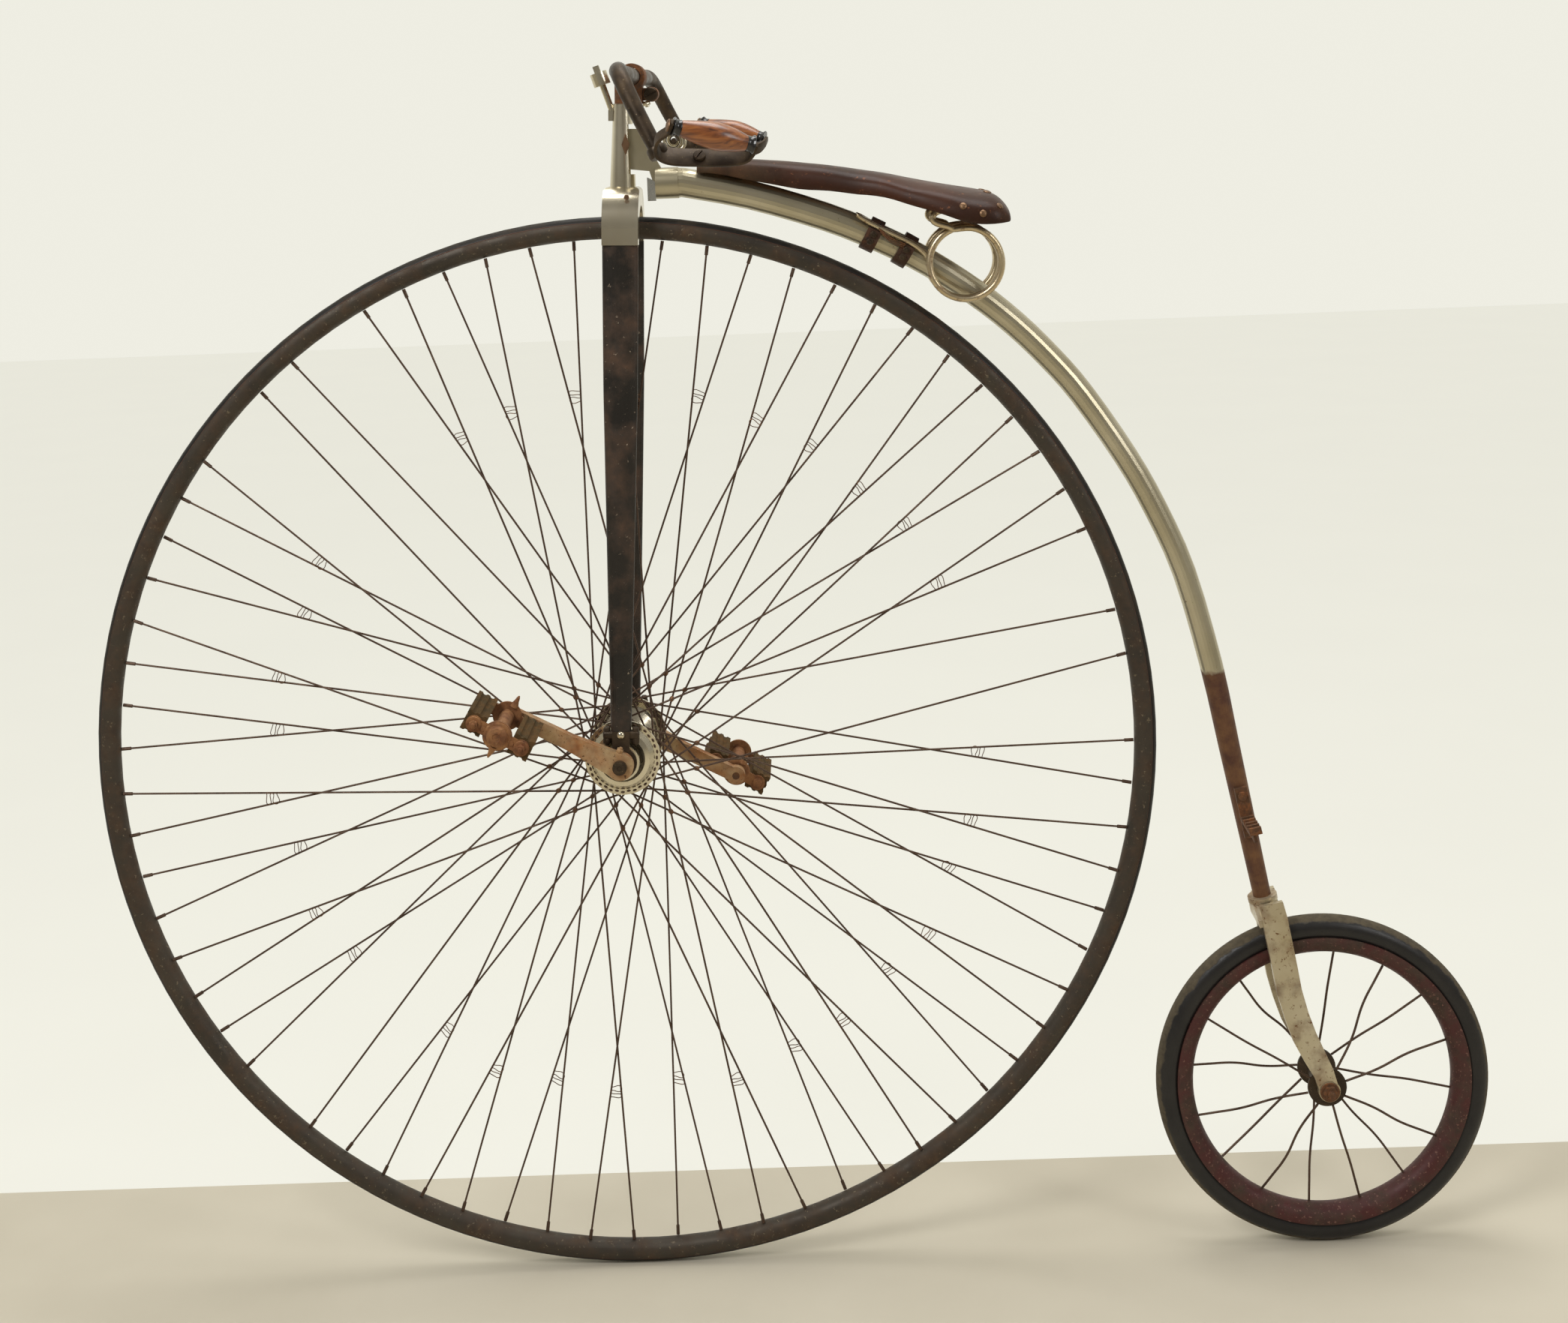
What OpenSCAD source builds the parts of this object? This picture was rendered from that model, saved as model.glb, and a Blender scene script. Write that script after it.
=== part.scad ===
// Penny farthing bicycle: a tall driven front wheel, a small trailing wheel
// and one curved backbone between them. Millimetres.
// X runs to the rear, Y to the rider's right, Z up.
// The origin is the seat point on top of the saddle.

/* [Show] */
// Sub-part to draw

/* [Wheels] */
// Front wheel diameter over the tyre
front_wheel_d = 1372; // [1144:1:1646]
// Rear wheel diameter over the tyre
rear_wheel_d = 431; // [360:1:517]
// Space between the two tyres
wheel_gap = 103; // [86:1:124]
// Width of the front tyre
front_tyre_w = 20; // [17:1:24]
// Width of the rear tyre
rear_tyre_w = 33; // [28:1:39]
// Metal of the rims outside the tyre, each side
rim_wall = 4; // [3:0.5:6]
// Thickness of a spoke
spoke_d = 2.6; // [2.2:0.1:3.2]
// Thickness of a nipple
nipple_d = 4.6; // [4:0.1:5.6]

/* [Front hub and cranks] */
// Distance between the front hub flanges
front_flange_gap = 106; // [90:1:126]
// Radius of the front hub flanges
front_flange_r = 48; // [42:1:58]
// Front axle diameter
front_axle_d = 18; // [15:1:21]
// Distance from the front axle to a pedal pin
crank_length = 155; // [129:1:186]
// Angle of the left crank above the forward line
crank_angle = 26; // [0:1:60]
// Pedal pin diameter
pedal_pin_d = 10; // [9:0.5:12]
// Width of a pedal between its plates
pedal_width = 84; // [70:1:101]

/* [Rear hub and fork] */
// Rear axle diameter
rear_axle_d = 9; // [8:0.5:11]
// Distance between the rear hub flanges
rear_flange_gap = 56; // [47:1:67]
// Radius of the rear hub flanges
rear_flange_r = 25; // [21:1:30]
// Thickness of a rear fork blade
rear_blade_t = 8; // [7:0.5:10]
// Width of a rear fork blade
rear_blade_w = 31; // [26:1:36]

/* [Backbone] */
// Diameter of the backbone at the neck
backbone_top_d = 38; // [32:1:44]
// Diameter of the backbone at the rear fork
backbone_end_d = 23; // [20:1:27]

/* [Steering] */
// Lean of the steering head to the rear
head_rake = 2.1; // [1:0.1:4]
// Diameter of the neck's pivot pin
pivot_d = 12; // [10:0.5:14]
// Width of a fork blade at the crown
blade_top_w = 46; // [38:1:54]
// Width of a fork blade at the hub
blade_low_w = 26; // [22:1:31]
// Thickness of a fork blade
blade_t = 14; // [12:1:17]

/* [Handlebar] */
// Distance between the bends of the handlebar
bar_span = 560; // [466:1:672]
// Diameter of the handlebar at its middle
bar_d = 22; // [19:1:26]
// Length of a wooden grip
grip_length = 78; // [65:1:93]
// Greatest diameter of a wooden grip
grip_d = 32; // [27:1:38]

/* [Saddle] */
// Width of the saddle at the rear
saddle_rear_w = 186; // [155:1:223]
// Width of the saddle nose
saddle_nose_w = 52; // [46:1:62]
// Thickness of the saddle leather
leather_t = 5; // [4:0.5:7]
// Thickness of the spring wire
wire_d = 9; // [8:0.5:11]

/* [Hidden] */
$fn = 48;

// running fit of a pin in its bore, and the gap between seated curved faces
run_gap = 0.05;
seat_gap = 0.3;
eps = 0.01;

front_r = front_wheel_d / 2;
rear_r = rear_wheel_d / 2;
wheelbase = sqrt(pow(front_r + rear_r + wheel_gap, 2) - pow(front_r - rear_r, 2));

// front wheel section
front_tyre_c = front_r - front_tyre_w / 2;
front_rim_sec_r = front_tyre_w / 2 + rim_wall;
front_tyre_show = 7;
front_rim_in = front_tyre_c - front_tyre_w / 2 - 8.6;
front_rim_c = front_rim_in + front_rim_sec_r;

// rear wheel section
rear_tyre_c = rear_r - rear_tyre_w / 2;
rear_rim_in = rear_tyre_c - rear_tyre_w / 2 - 15;
rear_rim_sec_r = rear_tyre_w / 2 + 1.5;
rear_rim_c = rear_rim_in + rear_rim_sec_r;
rear_rim_out = rear_tyre_c - 9;

// front hub stations along the axle, from the middle
flange_y = front_flange_gap / 2;
flange_t = 3;
dish_h = 8;
bearing_gap = 3;
bearing_y = flange_y + flange_t + dish_h + bearing_gap;
bearing_r = 20;
crank_y = bearing_y + blade_t + 5;
crank_t = 12;
crank_boss_r = 17;
crank_eye_r = 12;
crank_mid = 9.5;
axle_end_y = crank_y + crank_t + 5;
spoke_r = spoke_d / 2;
hook_r = [front_flange_r - 4, front_flange_r - 8];
nipple_len = 12;
front_spoke_count = 72;
// places in the front wheel whose spoke is lost
lost_spokes = [0, 3, 24, 27, 44];
spoke_phase = 3.5 + head_rake;

// rear hub stations
rear_flange_y = rear_flange_gap / 2;
rear_flange_t = 3;
rear_barrel_r = 14;
rear_end_y = rear_flange_y + rear_flange_t + 5;
rear_spoke_count = 16;
// free threaded ends of the rear axle outside its nuts
axle_tail = 8;

// height of things above the hub line, measured from the wheel's top
crown_top = front_r + 38;
crown_low = front_r - 34;
neck_z = front_r + 40;
neck_lug_x0 = 69;
neck_lug_x1 = 98;
lug_r = backbone_top_d / 2 + 1;

// pins and plates of the pedals
pedal_in_y = crank_y + crank_t + 6;
pedal_plate_t = 3;
pedal_out_y = pedal_in_y + pedal_plate_t + pedal_width;
pedal_block_x = 32;
pedal_tilt = 28;

// seat point: the rider's place on the saddle, the origin of every piece
seat_x = 400;
seat_point = [seat_x, 0, front_r * 2 + 34];

function unit(v) = v / norm(v);
function mix(a, b, t) = a + (b - a) * t;
function way(p, i) = i == 0 ? unit(p[1] - p[0])
    : i == len(p) - 1 ? unit(p[i] - p[i - 1])
    : unit(unit(p[i] - p[i - 1]) + unit(p[i + 1] - p[i]));
// a smooth curve through points: Catmull-Rom, n steps between neighbours
function knot(p, i) = p[max(0, min(len(p) - 1, i))];
function curve_at(a, b, c, d, t) = 0.5 * ((2 * b) + (c - a) * t
    + (2 * a - 5 * b + 4 * c - d) * t * t + (3 * b - a - 3 * c + d) * t * t * t);
function smooth(p, n) = [for (i = [0 : len(p) - 2]) for (k = [0 : n - 1])
    curve_at(knot(p, i - 1), p[i], p[i + 1], knot(p, i + 2), k / n), p[len(p) - 1]];

// a round tube along a path, radii one for each point, flat ends
module tube(path, radii, sides, ref) {
    n = len(path);
    pts = [for (i = [0 : n - 1])
        let (d = way(path, i), u = unit(cross(d, ref)), v = cross(d, u))
        for (k = [0 : sides - 1])
            path[i] + radii[i] * (cos(360 * k / sides) * u + sin(360 * k / sides) * v)];
    walls = [for (i = [0 : n - 2]) for (k = [0 : sides - 1])
        let (a = i * sides + k, b = i * sides + (k + 1) % sides, c = b + sides, d = a + sides)
        each [[a, d, c], [a, c, b]]];
    polyhedron(points = pts,
        faces = concat([[for (k = [0 : sides - 1]) k]], walls,
            [[for (k = [sides - 1 : -1 : 0]) (n - 1) * sides + k]]));
}

module from_seat() {
    translate(-seat_point) translate([0, 0, front_r]) children();
}

// frame of the front hub, leaning with the steering head
module steered() {
    from_seat() rotate([0, head_rake, 0]) children();
}

// frame of the rear hub
module at_rear() {
    from_seat() translate([wheelbase, 0, rear_r - front_r]) children();
}

// a solid of revolution about Y, from a profile in radius and Y
module about_y(sides = 48) {
    rotate([-90, 0, 0]) rotate_extrude($fn = sides) children();
}

module rod_y(r, y0, y1) {
    translate([0, y0, 0]) rotate([-90, 0, 0]) cylinder(r = r, h = y1 - y0);
}

// ---------------------------------------------------------------- backbone
// points of the backbone: angle about the front hub and height above the tyre
bone_table = [[75.1, 45.5], [67.2, 46.5], [61.2, 49], [55.8, 52], [50.4, 54.5], [45.5, 56.5],
    [40.6, 57.5], [35.8, 58.5], [28.3, 60.2], [22.3, 63.5], [15.3, 69], [5.8, 77.4]];
collar_angle = 106.2;
collar_rise = 39;
collar_pt = [wheelbase + (rear_r + collar_rise) * cos(collar_angle), 0,
    rear_r - front_r + (rear_r + collar_rise) * sin(collar_angle)];
function bone_pt(row) = [(front_r + row[1]) * cos(row[0]), 0, (front_r + row[1]) * sin(row[0])];
bone_low = bone_pt(bone_table[len(bone_table) - 1]);
bone_dir = unit(collar_pt - bone_low);
bone_knots = concat([[neck_lug_x1 + 5, 0, neck_z]],
    [for (row = bone_table) bone_pt(row)],
    [mix(bone_low, collar_pt, 0.35), mix(bone_low, collar_pt, 0.7), collar_pt]);
bone_path = concat([[neck_lug_x1, 0, neck_z]], smooth(bone_knots, 3));
bone_turns = 3 * len(bone_table) + 1;
bone_low_d = mix(backbone_top_d, backbone_end_d, 0.55);
// radius of the straight lower leg at a share of its length, and at any path point
function leg_r(t) = mix(bone_low_d, backbone_end_d, t) / 2;
function bone_r(i) = i < bone_turns ? mix(backbone_top_d, bone_low_d, i / bone_turns) / 2
    : leg_r(norm(bone_path[i] - bone_low) / norm(collar_pt - bone_low));
bone_tilt = atan2(bone_dir[0], -bone_dir[2]);
// the backbone's middle at an angle about the front hub, and its slope there
clip_angles = [62.2, 58.6];
function bone_lift(a) = lookup(a, [for (row = bone_table) [row[0], row[1]]]);
function bone_at(a) = bone_pt([a, bone_lift(a)]);

module backbone() {
    color([0.76, 0.72, 0.6]) from_seat()
        tube(bone_path, [for (i = [0 : len(bone_path) - 1]) bone_r(i)], 24, [0, 1, 0]);
}

// ---------------------------------------------------------------- neck
window_low = neck_z + 14;
window_high = neck_z + 78;
head_low = crown_top;
head_top = neck_z + 104;
pivot_low = head_low + 5;
pivot_top = head_top - 14;
web_t = 8;
guard_x = 58;
guard_t = 1.6;

module neck() {
    color([0.78, 0.74, 0.62]) from_seat() union() {
        rotate([0, head_rake, 0]) translate([0, 0, pivot_low])
            cylinder(d = pivot_d, h = pivot_top - pivot_low);
        rotate([0, head_rake, 0]) rotate([90, 0, 0])
            linear_extrude(height = web_t, center = true)
                polygon([[0, window_low + 7], [34, window_low + 4], [44, neck_z - 12],
                    [60, neck_z - 12], [60, neck_z + 14], [50, neck_z + 20], [34, window_low + 34],
                    [24, window_high - 6], [0, window_high - 6]]);
        translate([neck_lug_x0, 0, neck_z]) rotate([0, 90, 0])
            cylinder(r = lug_r, h = neck_lug_x1 - neck_lug_x0);
    }
}

module guard_plate() {
    color([0.82, 0.82, 0.78]) from_seat()
        translate([guard_x, -web_t / 2, neck_z - 22]) rotate([90, 0, 0])
            linear_extrude(height = guard_t) intersection() {
                translate([-10, 2]) circle(r = 30);
                square([neck_lug_x0 - guard_x - seat_gap, 40]);
            }
}

// ---------------------------------------------------------------- rear fork
fork_in_top = rear_tyre_w / 2 + 6;
fork_crotch = rear_r + 8;
blade_splay = atan((rear_end_y - fork_in_top) / fork_crotch);
rear_end_r = 14;
fork_line = [[-65, rear_r + 26], [-61, rear_r + 6], [-51, 160], [-46, 128], [-38, 97],
    [-29, 70], [-17, 44], [-6, 22]];
fork_half = [15, 16, 16, 15.8, 15.5, 15.5, 14.5, 13];

function side_pt(p, i, s) =
    let (d = i == 0 ? unit(p[1] - p[0]) : i == len(p) - 1 ? unit(p[i] - p[i - 1])
        : unit(p[i + 1] - p[i - 1]))
    p[i] + s * fork_half[i] * rear_blade_w / 31 * [d[1], -d[0]];

module rear_blade_shape() {
    union() {
        polygon(concat([for (i = [0 : len(fork_line) - 1]) side_pt(fork_line, i, 1)],
            [for (i = [len(fork_line) - 1 : -1 : 0]) side_pt(fork_line, i, -1)]));
        circle(r = rear_end_r);
        polygon([side_pt(fork_line, 7, 1), side_pt(fork_line, 7, -1), [rear_end_r - 1, 0],
            [-rear_end_r + 1, 0]]);
    }
}

module rear_fork() {
    color([0.74, 0.68, 0.52]) difference() {
        union() {
            for (s = [-1, 1]) at_rear()
                translate([0, s * rear_end_y, 0]) rotate([s * blade_splay, 0, 0])
                    translate([0, s > 0 ? rear_blade_t : 0, 0]) rotate([90, 0, 0])
                        linear_extrude(height = rear_blade_t) rear_blade_shape();
            at_rear() for (s = [-1, 1]) translate([0, s * (rear_end_y + rear_blade_t / 2), 0])
                rod_y(rear_end_r - 2, -rear_blade_t / 2 - 0.7, rear_blade_t / 2 + 0.7);
            from_seat() translate(collar_pt) rotate([0, -bone_tilt, 0]) {
                translate([0, 0, -7]) cylinder(r = 19, h = 7);
                translate([0, 0, -16]) cylinder(r1 = 16.5, r2 = 15, h = 9.5);
                rotate([90, 0, 90]) linear_extrude(height = 31, center = true)
                    polygon([[-15, -7 + eps], [15, -7 + eps], [fork_in_top + rear_blade_t - 2, -22],
                        [fork_in_top + rear_blade_t - 1, -31], [-fork_in_top - rear_blade_t + 1, -31],
                        [-fork_in_top - rear_blade_t + 2, -22]]);
            }
        }
        at_rear() rod_y(rear_axle_d / 2 + run_gap, -rear_end_y - 20, rear_end_y + 20);
        at_rear() rod_y(rear_r + 6, -fork_in_top, fork_in_top);
    }
}

module rear_axle() {
    y1 = rear_end_y + rear_blade_t + 0.7;
    color([0.45, 0.38, 0.3]) at_rear() union() {
        rod_y(rear_axle_d / 2, -y1 - 7 - axle_tail, y1 + 7 + axle_tail);
        for (s = [-1, 1]) translate([0, s * (y1 + 3.5), 0]) rotate([90, 0, 0])
            cylinder(r = 9.5, h = 7, center = true, $fn = 6);
    }
}

// a bracketed foot tread on the left side of the backbone, near its lower end
step_share = 0.62;
step_half = 40;
module mount_step() {
    p = mix(bone_low, collar_pt, step_share);
    dt = step_half / norm(collar_pt - bone_low);
    r = leg_r(step_share) + 2.5;
    color([0.6, 0.42, 0.22]) from_seat() translate(p) rotate([0, -bone_tilt, 0]) {
        // plate along the tube, with the tread standing out from its lower half
        difference() {
            translate([-8, -r - 4, -34]) cube([16, 7, 66]);
            translate([0, 0, -step_half]) cylinder(r1 = leg_r(step_share + dt) + seat_gap,
                r2 = leg_r(step_share - dt) + seat_gap, h = 2 * step_half);
        }
        translate([-8, -r - 58, -12]) cube([16, 56, 4]);
        translate([-2, -r - 40, -28]) cube([4, 38, 17]);
        for (i = [0 : 4]) translate([-8, -r - 57 + 11 * i, -9]) cube([16, 4, 6]);
        translate([0, -r - 3, 22]) rotate([90, 0, 0]) cylinder(r = 5.5, h = 5);
    }
}

// ---------------------------------------------------------------- saddle
// along X: height of the top above the wheel's top, share of width, flap depth
saddle_table = [[122, 63, 0.0, 12], [134, 66, 0.02, 14], [158, 68, 0.04, 20], [190, 67, 0.06, 27],
    [238, 62.5, 0.10, 33], [290, 55, 0.20, 33], [338, 46.5, 0.38, 31], [380, 38, 0.62, 31],
    [412, 30.5, 0.83, 33], [446, 23.5, 0.97, 41], [478, 18, 1.0, 42], [498, 12, 0.95, 38],
    [508, 2, 0.86, 27], [514, -8, 0.78, 16]];
saddle_arc = 14;
function arch(row, inset, a) =
    let (w = mix(saddle_nose_w, saddle_rear_w, row[2]) / 2 * (row[0] < 130 ? 0.72 : 1) - inset)
    [row[0], w * sign(sin(a)) * pow(abs(sin(a)), 0.75),
        front_r + row[1] - row[3] + (row[3] - inset) * pow(abs(cos(a)), 0.6)];
function saddle_ring(row) = concat(
    [for (k = [0 : saddle_arc]) arch(row, 0, -90 + 180 * k / saddle_arc)],
    [for (k = [saddle_arc : -1 : 0]) arch(row, leather_t, -90 + 180 * k / saddle_arc)]);
function saddle_top(x) = front_r + lookup(x, [for (row = saddle_table) [row[0], row[1]]]);

module saddle_leather() {
    n = len(saddle_table);
    m = 2 * saddle_arc + 2;
    pts = [for (row = saddle_table) each saddle_ring(row)];
    walls = [for (i = [0 : n - 2]) for (k = [0 : m - 1])
        let (a = i * m + k, b = i * m + (k + 1) % m, c = b + m, d = a + m)
        each [[a, b, c], [a, c, d]]];
    // the end caps join the outer arc to the inner one, strip by strip
    caps = [for (k = [0 : saddle_arc - 1])
        let (a = k, b = k + 1, c = m - 2 - k, d = m - 1 - k, e = (n - 1) * m)
        each [[a, c, b], [a, d, c], [e + a, e + b, e + c], [e + a, e + c, e + d]]];
    color([0.2, 0.12, 0.09]) from_seat() polyhedron(points = pts, faces = concat(walls, caps));
}

// a steel strip under the leather, seated on the backbone at the nose, and the
// cross piece at the rear that the springs hang from
strip_w = 22;
strip_t = 4;
strip_drop = leather_t + 1.5;
nose_angle = 77;
cantle_x = 470;
cantle_half = 62;
spring_y = 46;
module saddle_frame() {
    xs = [146, 170, 200, 240, 290, 338, 380, 412, 446, 484];
    crest = (front_r + bone_lift(75.1) + backbone_top_d / 2 + seat_gap)
        * [cos(nose_angle), sin(nose_angle)];
    along = [sin(nose_angle), -cos(nose_angle)];
    color([0.3, 0.22, 0.17]) from_seat() union() {
        rotate([90, 0, 0]) linear_extrude(height = strip_w, center = true) polygon(concat(
            [for (x = xs) [x, saddle_top(x) - strip_drop]],
            [for (i = [len(xs) - 1 : -1 : 0]) [xs[i], saddle_top(xs[i]) - strip_drop - strip_t]]));
        rotate([90, 0, 0]) linear_extrude(height = strip_w - 6, center = true) polygon([
            crest - 12 * along, crest + 12 * along,
            [crest[0] + 13, saddle_top(crest[0] + 13) - strip_drop - 1],
            [crest[0] - 13, saddle_top(crest[0] - 13) - strip_drop - 1]]);
        translate([cantle_x - 9, -cantle_half, saddle_top(cantle_x) - strip_drop - 14])
            cube([18, 2 * cantle_half, 5]);
        translate([cantle_x - 9, -strip_w / 2, saddle_top(cantle_x) - strip_drop - 13])
            cube([18, strip_w, 12]);
    }
}

// spring wires: from the clips on the backbone, twice round a coil, to the cantle
coil_r = 46;
coil_x = 458;
coil_turn = 13;
coil_z = front_r - 74;
function across(a) = [cos(a), 0, sin(a)];
wire_top = saddle_top(cantle_x) - strip_drop - 14 - wire_d / 2 - seat_gap;
wire_in = backbone_top_d / 2 + 3.8;
wire_knots = concat(
    [bone_at(clip_angles[0] + 2.4) + 17 * across(clip_angles[0]) + [0, -wire_in, 0],
        bone_at(clip_angles[0]) + 12.6 * across(clip_angles[0]) + [0, -wire_in, 0],
        bone_at(clip_angles[1]) + 13 * across(clip_angles[1]) + [0, -wire_in - 0.2, 0]],
    [for (k = [0 : 22]) let (a = 170 + 30 * k)
        [coil_x + coil_r * cos(a), -24 - coil_turn * k / 12, coil_z + coil_r * sin(a)]],
    [[coil_x - 18, -spring_y - 4, coil_z + coil_r + 1], [coil_x - 36, -spring_y - 4, coil_z + coil_r + 6],
        [coil_x - 41, -spring_y - 4, mix(coil_z + coil_r, wire_top, 0.6)],
        [coil_x - 34, -spring_y - 4, wire_top - 1], [coil_x - 18, -spring_y - 4, wire_top],
        [cantle_x + 8, -spring_y - 4, wire_top]]);
wire_path = smooth(wire_knots, 2);
module saddle_springs() {
    color([0.72, 0.62, 0.45]) from_seat() for (s = [0, 1]) mirror([0, s, 0])
        tube(wire_path, [for (i = [0 : len(wire_path) - 1]) wire_d / 2 * min(1, 0.66 + i * 0.03)],
            8, [0, 1, 0]);
}

clip_len = 18;
clip_wall = 3;
// the backbone's radius under the clips, with room for its bend
clip_in = mix(backbone_top_d, bone_low_d, 0.26) / 2 + 0.45;
module spring_clips() {
    color([0.35, 0.2, 0.13]) from_seat() for (a = clip_angles) translate(bone_at(a))
        rotate([0, 90 - a, 0]) rotate([0, 90, 0]) difference() {
            union() {
                cylinder(r = backbone_top_d / 2 + clip_wall, h = clip_len, center = true);
                for (s = [-1, 1]) translate([0, s * (backbone_top_d / 2 + 2), 0])
                    cube([16, 5, clip_len], center = true);
            }
            cylinder(r = clip_in, h = clip_len + 2, center = true);
        }
}

// ---------------------------------------------------------------- steering head
head_foot_r = 16.5;
head_tip_r = 12;
function head_r(z) = mix(head_foot_r, head_tip_r, (z - head_low) / (head_top - head_low));
window_flare = 33;
window_room = web_t / 2 + 2;
function window_edge(t, s) = [t * cos(window_flare) - window_room * sin(window_flare),
    s * (t * sin(window_flare) + window_room * cos(window_flare))];
module head() {
    color([0.83, 0.78, 0.66]) steered() difference() {
        translate([0, 0, head_low])
            cylinder(r1 = head_foot_r, r2 = head_tip_r, h = head_top - head_low);
        translate([0, 0, pivot_low - 1])
            cylinder(r = pivot_d / 2 + run_gap, h = head_top - pivot_low + 2);
        // the window flares so that the neck's web can swing from side to side
        translate([0, 0, window_low]) linear_extrude(height = window_high - window_low)
            polygon([window_edge(0, 1), window_edge(50, 1), window_edge(50, -1), window_edge(0, -1)]);
    }
}

// threaded bolt that closes the head's top over the pivot
module head_bolt() {
    color([0.5, 0.42, 0.32]) steered() translate([0, 0, pivot_top + 1])
        cylinder(r = pivot_d / 2, h = head_top - pivot_top - 1 - eps);
}

// slanting stud in front of the head, with its nut and square end
stud_lean = 20;
stud_z = neck_z + 88;
stud_x = -head_r(stud_z) + 1.7;
module front_stud() {
    color([0.85, 0.82, 0.75]) steered() difference() {
        union() {
            translate([stud_x - 7, -5, stud_z - 6]) cube([10, 10, 14]);
            translate([stud_x, 0, stud_z]) rotate([0, -stud_lean, 0]) {
                cylinder(r = 4, h = 56);
                translate([0, 0, 42]) cylinder(r = 11, h = 17);
                translate([-4, -4, 58]) cube([8, 8, 10]);
            }
        }
        translate([0, 0, head_low]) cylinder(r1 = head_foot_r + seat_gap,
            r2 = head_tip_r + seat_gap, h = head_top - head_low);
    }
}

// ---------------------------------------------------------------- fork
crown_half = 54;
crown_inner = 38;
crown_w = blade_top_w;
crown_corner = 6;
crown_arc_z = crown_top - crown_half + 3;
crown_arch_z = crown_top - 24 - crown_inner;
blade_low_z = 40;
blade_low_c = bearing_y + blade_t / 2;
blade_top_c = (crown_half + crown_inner) / 2;
module fork_crown() {
    color([0.8, 0.74, 0.6]) steered() intersection() {
        rotate([90, 0, 90]) linear_extrude(height = crown_w, center = true) difference() {
            union() {
                translate([0, crown_arc_z]) circle(r = crown_half);
                translate([-crown_half, crown_low]) square([2 * crown_half, crown_arc_z - crown_low]);
            }
            translate([0, crown_arch_z]) circle(r = crown_inner);
            translate([-crown_inner, crown_low - 1])
                square([2 * crown_inner, crown_arch_z - crown_low + 1]);
        }
        rotate([90, 0, 0]) linear_extrude(height = 3 * crown_half, center = true) union() {
            translate([-crown_w / 2, crown_low])
                square([crown_w, crown_top - crown_corner - crown_low]);
            translate([-crown_w / 2 + crown_corner, crown_low])
                square([crown_w - 2 * crown_corner, crown_top - crown_low]);
            for (s = [-1, 1]) translate([s * (crown_w / 2 - crown_corner), crown_top - crown_corner])
                circle(r = crown_corner);
        }
    }
}

// an upright oval bar: rows of height, middle in y, half widths in x and y
module oval_bar(rows, sides) {
    pts = [for (r = rows) for (k = [0 : sides - 1])
        [r[2] * cos(360 * k / sides), r[1] + r[3] * sin(360 * k / sides), r[0]]];
    n = len(rows);
    polyhedron(points = pts, faces = concat([[for (k = [sides - 1 : -1 : 0]) k]],
        [for (i = [0 : n - 2]) for (k = [0 : sides - 1])
            let (a = i * sides + k, b = i * sides + (k + 1) % sides, c = b + sides, d = a + sides)
            each [[a, b, c], [a, c, d]]],
        [[for (k = [0 : sides - 1]) (n - 1) * sides + k]]));
}

module fork_blades() {
    rows = [for (t = [0, 0.15, 0.4, 0.7, 1])
        [mix(blade_low_z, crown_low, t), mix(blade_low_c, blade_top_c, t),
            mix(blade_low_w, blade_top_w, min(1, 1.25 * t)) / 2, blade_t / 2]];
    color([0.1, 0.1, 0.1]) steered() {
        oval_bar([for (i = [4 : -1 : 0]) rows[i]], 28);
        mirror([0, 1, 0]) oval_bar([for (i = [4 : -1 : 0]) rows[i]], 28);
    }
}

module fork_bearings() {
    color([0.5, 0.45, 0.36]) steered() for (s = [-1, 1]) difference() {
        union() {
            translate([0, s * blade_low_c, 0]) rod_y(bearing_r, -blade_t / 2, blade_t / 2);
            translate([-11, s * blade_low_c - blade_t / 2, 5]) cube([22, blade_t, blade_low_z - 5]);
        }
        translate([0, s * blade_low_c, 0]) rod_y(front_axle_d / 2 + run_gap, -blade_t, blade_t);
    }
}

// ---------------------------------------------------------------- handlebar
bar_x = 13;
bar_z = neck_z + 138;
lug_half = 20;
module bar_lug() {
    color([0.42, 0.25, 0.14]) steered() difference() {
        union() {
            translate([bar_x, 0, bar_z]) rod_y(bar_d / 2 + 6, -lug_half, lug_half);
            translate([-9, -13, head_top]) cube([bar_x + 22, 26, bar_z - head_top]);
            translate([bar_x + 6, -8, head_top + 4]) cube([22, 16, 16]);
            translate([bar_x + 24, 0, head_top + 12]) rod_y(9.5, -15, 9);
        }
        translate([bar_x, 0, bar_z]) rod_y(bar_d / 2 + seat_gap, -lug_half - 1, lug_half + 1);
    }
}

bar_half = [[bar_x, 0, 0], [bar_x, 30, 0], [bar_x, 0.35 * bar_span, 2], [bar_x + 1, bar_span / 2 - 60, 3.5],
    [bar_x + 4, bar_span / 2 - 30, 1], [bar_x + 9, bar_span / 2 - 12, -8], [bar_x + 17, bar_span / 2 - 2, -24],
    [bar_x + 28, bar_span / 2 + 5, -46], [bar_x + 41, bar_span / 2 + 11, -70],
    [bar_x + 54, bar_span / 2 + 17, -94]];
bar_side = smooth(bar_half, 3);
bar_path = concat([for (i = [len(bar_side) - 1 : -1 : 1]) [bar_side[i][0], -bar_side[i][1], bar_side[i][2]]],
    bar_side);
bar_end = bar_half[len(bar_half) - 1];
bar_end_way = unit(bar_end - bar_side[len(bar_side) - 2]);
bar_end_r = bar_d / 2 * 0.8;
module at_bar_end(side) {
    steered() mirror([0, side < 0 ? 1 : 0, 0]) translate([bar_end[0], bar_end[1], bar_z + bar_end[2]])
        rotate([0, acos(bar_end_way[2]), atan2(bar_end_way[1], bar_end_way[0])]) children();
}
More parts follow.
